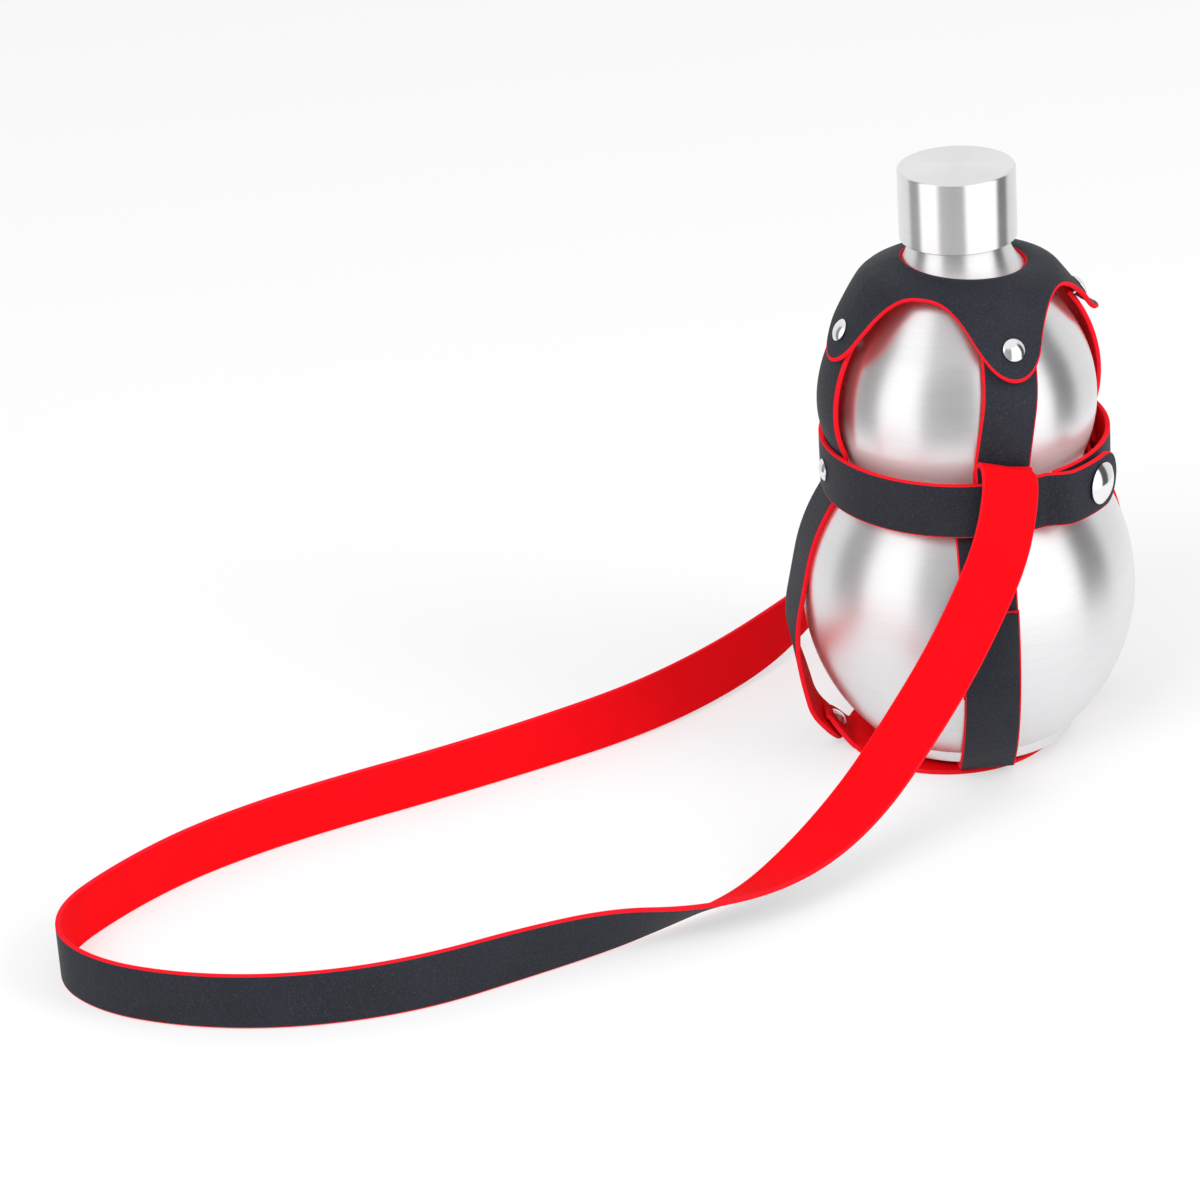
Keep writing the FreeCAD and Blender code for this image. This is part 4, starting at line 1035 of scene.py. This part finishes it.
def make_rivets():
    """Rivets of the lobes, of the belt and of the sole's short tab."""
    lobe = []
    belt = []
    for side, quarter in QUARTERS.items():
        azimuth = quarter + UPPER_TURN
        foot = at_azimuth((lobe_knee + lobe_out * LEATHER / 2)[None], azimuth)[0]
        direction = at_azimuth(lobe_out[None], azimuth)[0]
        lobe += rivet_grids(foot, direction, 2 * LEATHER + COLLAR_GAP - RIVET_PLATE)
        reach = belt_front if side in ("front", "back") else belt_side
        turn = (RIVET_TURN + TAUT_AZIMUTH - quarter) / 2 if side == "right" else RIVET_TURN
        out = outwards(quarter + turn)
        foot = out * (reach + LEATHER) + UP * belt_middle
        belt += rivet_grids(foot, out, reach + LEATHER - lower_middle + LEATHER / 2 + LAYER_GAP)
    start, ahead, inwards = sole_tab_line()
    left = QUARTERS["left"]
    foot = at_azimuth((start + ahead * TAB_RIVET + inwards * LEATHER / 2)[None], left)[0]
    tab = rivet_grids(foot, at_azimuth(inwards[None], left)[0], 2 * LEATHER + LAYER_GAP)
    for node, grids in (("lobe_rivets", lobe), ("belt_rivets", belt), ("tab_rivet", tab)):
        metal_piece(node + "_nickel", grids, nickel, node)


def make_snap():
    """Large dome on the tab, with a fine rim."""
    here = SNAP_ANGLE + np.array([-SNAP_STEP, 0.0, SNAP_STEP])
    outer = belt_plan(here, LEATHER + tab_rise(here))
    out = unit(np.cross(outer[2] - outer[0], UP))
    dome = dome_profile(SNAP_RADIUS, SNAP_DOME, RIVET_RIM)
    grid = leaned_grid(turned_grid(dome, count=72), outer[1], out)
    metal_piece("snap_cap_nickel", [(grid, False, True, 0)], nickel, "snap_cap", "tab")
    for node in ("snap_socket", "snap_stud", "snap_plate"):
        refinish(node, nickel)


make_rivets()
make_snap()


# Carry strap

def tail_route(azimuth):
    """Tail under the belt and the loose fold that carries it over the belt's top edge."""
    front = azimuth < QUARTERS["right"]
    out = outwards(azimuth)
    aside = sideways(azimuth) * (1.0 if front else -1.0)
    lean = FOLD_LEAN if front else 0.0
    route = [(out * carry_middle + UP * tail_low, aside)]
    for reach, rise, share in FOLD:
        spot = out * (carry_middle + reach) + UP * (belt_high + rise)
        route.append((spot, unit(aside - UP * lean * share)))
    return route


def spline_points(name, spots):
    """Points along a NURBS spline that has the spots as its control points."""
    curve = bpy.data.curves.new(name, "CURVE")
    curve.dimensions = "3D"
    line = curve.splines.new("NURBS")
    line.points.add(len(spots) - 1)
    line.points.foreach_set("co", np.concatenate([spots, np.ones((len(spots), 1))], axis=1).ravel())
    line.order_u = 3
    line.use_endpoint_u = True
    line.resolution_u = 24
    holder = bpy.data.objects.new(name, curve)
    mesh = bpy.data.meshes.new_from_object(holder)
    points = np.empty(len(mesh.vertices) * 3)
    mesh.vertices.foreach_get("co", points)
    bpy.data.objects.remove(holder)
    bpy.data.curves.remove(curve)
    bpy.data.meshes.remove(mesh)
    return points.reshape(-1, 3)


def make_carry_strap():
    """Band along the spline of the route. The direction across it runs from that spline to a second one,
    whose control points stand half a width aside."""
    free = [(np.array(spot), unit(np.array(aside))) for spot, aside in FREE_ROUTE]
    route = tail_route(RIVET_TURN) + free + tail_route(180.0 + RIVET_TURN)[::-1]
    spots = np.array([spot for spot, aside in route])
    asides = np.array([aside for spot, aside in route])
    centre = spline_points("carry_line", spots)
    beside = spline_points("carry_side", spots + asides * STRAP_WIDTH / 2)
    both = even_steps(np.concatenate([centre, beside], axis=1), count=620)
    centre = both[:, :3]
    grid = strap_grid(centre, both[:, 3:] - centre)
    strap = leather_piece("carry_strap_leather", [grid], ["carry_strap"])


make_carry_strap()


# Stage, light and camera

def make_floor():
    """Pale floor that keeps the shadows. Polished steel sees it as a table, and the room past its edge."""
    floor = new_finish("floor")
    seen = floor.ray("Is Camera Ray")
    mirrored = floor.ray("Is Glossy Ray")
    matte = floor.node("BsdfDiffuse", {"Color": shade(FLOOR_COLOUR)})
    glow = floor.node("Emission", {"Color": shade(WHITE), "Strength": 1.0})
    mixed = floor.node("MixShader", {0: (seen + mirrored) * FLOOR_GLOW, 1: matte, 2: glow})
    far = floor.node("VectorMath", {0: floor.place()}, {"operation": "LENGTH"}, output=1)
    past = floor.slide(far, TABLE_EDGE - TABLE_FADE, TABLE_EDGE)
    clear = floor.node("BsdfTransparent")
    shown = floor.node("MixShader", {0: past * mirrored, 1: mixed, 2: clear})
    floor.node("OutputMaterial", {"Surface": shown})
    mesh = bpy.data.meshes.new("floor")
    corners = [(-1, -1), (1, -1), (1, 1), (-1, 1)]
    mesh.from_pydata([(x * FLOOR_REACH, y * FLOOR_REACH, 0) for x, y in corners], [], [(0, 1, 2, 3)])
    mesh.materials.append(floor.owner)
    made = add_object("floor", mesh)


def make_world():
    """White room. Polished steel sees its soft boxes and the dark gaps between them, as bands by azimuth,
    below an even ceiling."""
    world = bpy.data.worlds.new("studio")
    bpy.context.scene.world = world
    room = Finish(world)
    way = room.node("TexCoord", output="Generated")
    east, north, up = (room.node("SeparateXYZ", {0: way}, output=axis) for axis in range(3))
    azimuth = room.node("Math", {0: east, 1: 0.0 - north}, {"operation": "ARCTAN2"})
    stops = [((angle + 180.0) / 360.0, shade(WHITE, level)) for angle, level in ROOM_BANDS]
    bands = room.node("ValToRGB", {0: azimuth / (2 * math.pi) + 0.5}, {"stops": stops})
    overhead = room.slide(up, CEILING_START, CEILING_FULL)
    mirrored = room.blend(overhead, bands, shade(WHITE, CEILING_LEVEL))
    even = room.blend(room.ray("Is Camera Ray"), shade(WHITE, ROOM_LEVEL), shade(WHITE))
    colour = room.blend(room.ray("Is Glossy Ray"), even, mirrored)
    glow = room.node("Background", {"Color": colour, "Strength": 1.0})
    room.node("OutputWorld", {"Surface": glow})


def make_light(name, place, aim, size, power):
    """Soft box that points at a place. Steel mirrors the room's bands in its stead."""
    lamp = bpy.data.lights.new(name, "AREA")
    lamp.shape = "RECTANGLE"
    lamp.size, lamp.size_y = size
    lamp.energy = power
    made = add_object(name, lamp)
    made.location = place
    made.rotation_mode = "QUATERNION"
    made.rotation_quaternion = (Vector(aim) - Vector(place)).to_track_quat("-Z", "Y")
    made.visible_glossy = False


def make_camera():
    """Camera on a line from the aim point, turned so that the aim point falls on its pixel."""
    azimuth, elevation, roll = (math.radians(x) for x in (CAMERA_AZIMUTH, CAMERA_ELEVATION, CAMERA_ROLL))
    back = Vector((math.sin(azimuth) * math.cos(elevation), -math.cos(azimuth) * math.cos(elevation),
                   math.sin(elevation)))
    right = Vector((math.cos(azimuth), math.sin(azimuth), 0.0))
    level = Matrix((right, back.cross(right), back))
    half = PHOTO_SIZE / 2
    ray = Vector(((CAMERA_AIM_PIXEL[0] - half) / CAMERA_FOCAL_PIXELS,
                  (half - CAMERA_AIM_PIXEL[1]) / CAMERA_FOCAL_PIXELS, -1.0)).normalized()
    turn = Vector((0, 0, -1)).rotation_difference(ray).to_matrix()
    axes = turn @ Matrix.Rotation(roll, 3, "Z") @ level
    lens = bpy.data.cameras.new("camera")
    lens.sensor_width = SENSOR
    lens.lens = CAMERA_FOCAL_PIXELS * SENSOR / PHOTO_SIZE
    lens.clip_start = 0.05
    lens.clip_end = 50.0
    made = add_object("camera", lens)
    made.matrix_world = Matrix.Translation(CAMERA_AIM + back * CAMERA_DISTANCE) @ axes.transposed().to_4x4()
    bpy.context.scene.camera = made


make_floor()
make_world()
make_light("key", place=(-1.1, -1.3, 1.6), aim=(0, 0, 0.1), size=(1.2, 1.2), power=22.0)
make_light("fill", place=(1.5, -0.9, 1.1), aim=(0, 0, 0.1), size=(0.9, 1.4), power=18.0)
make_camera()
bpy.context.scene.view_settings.view_transform = "Standard"
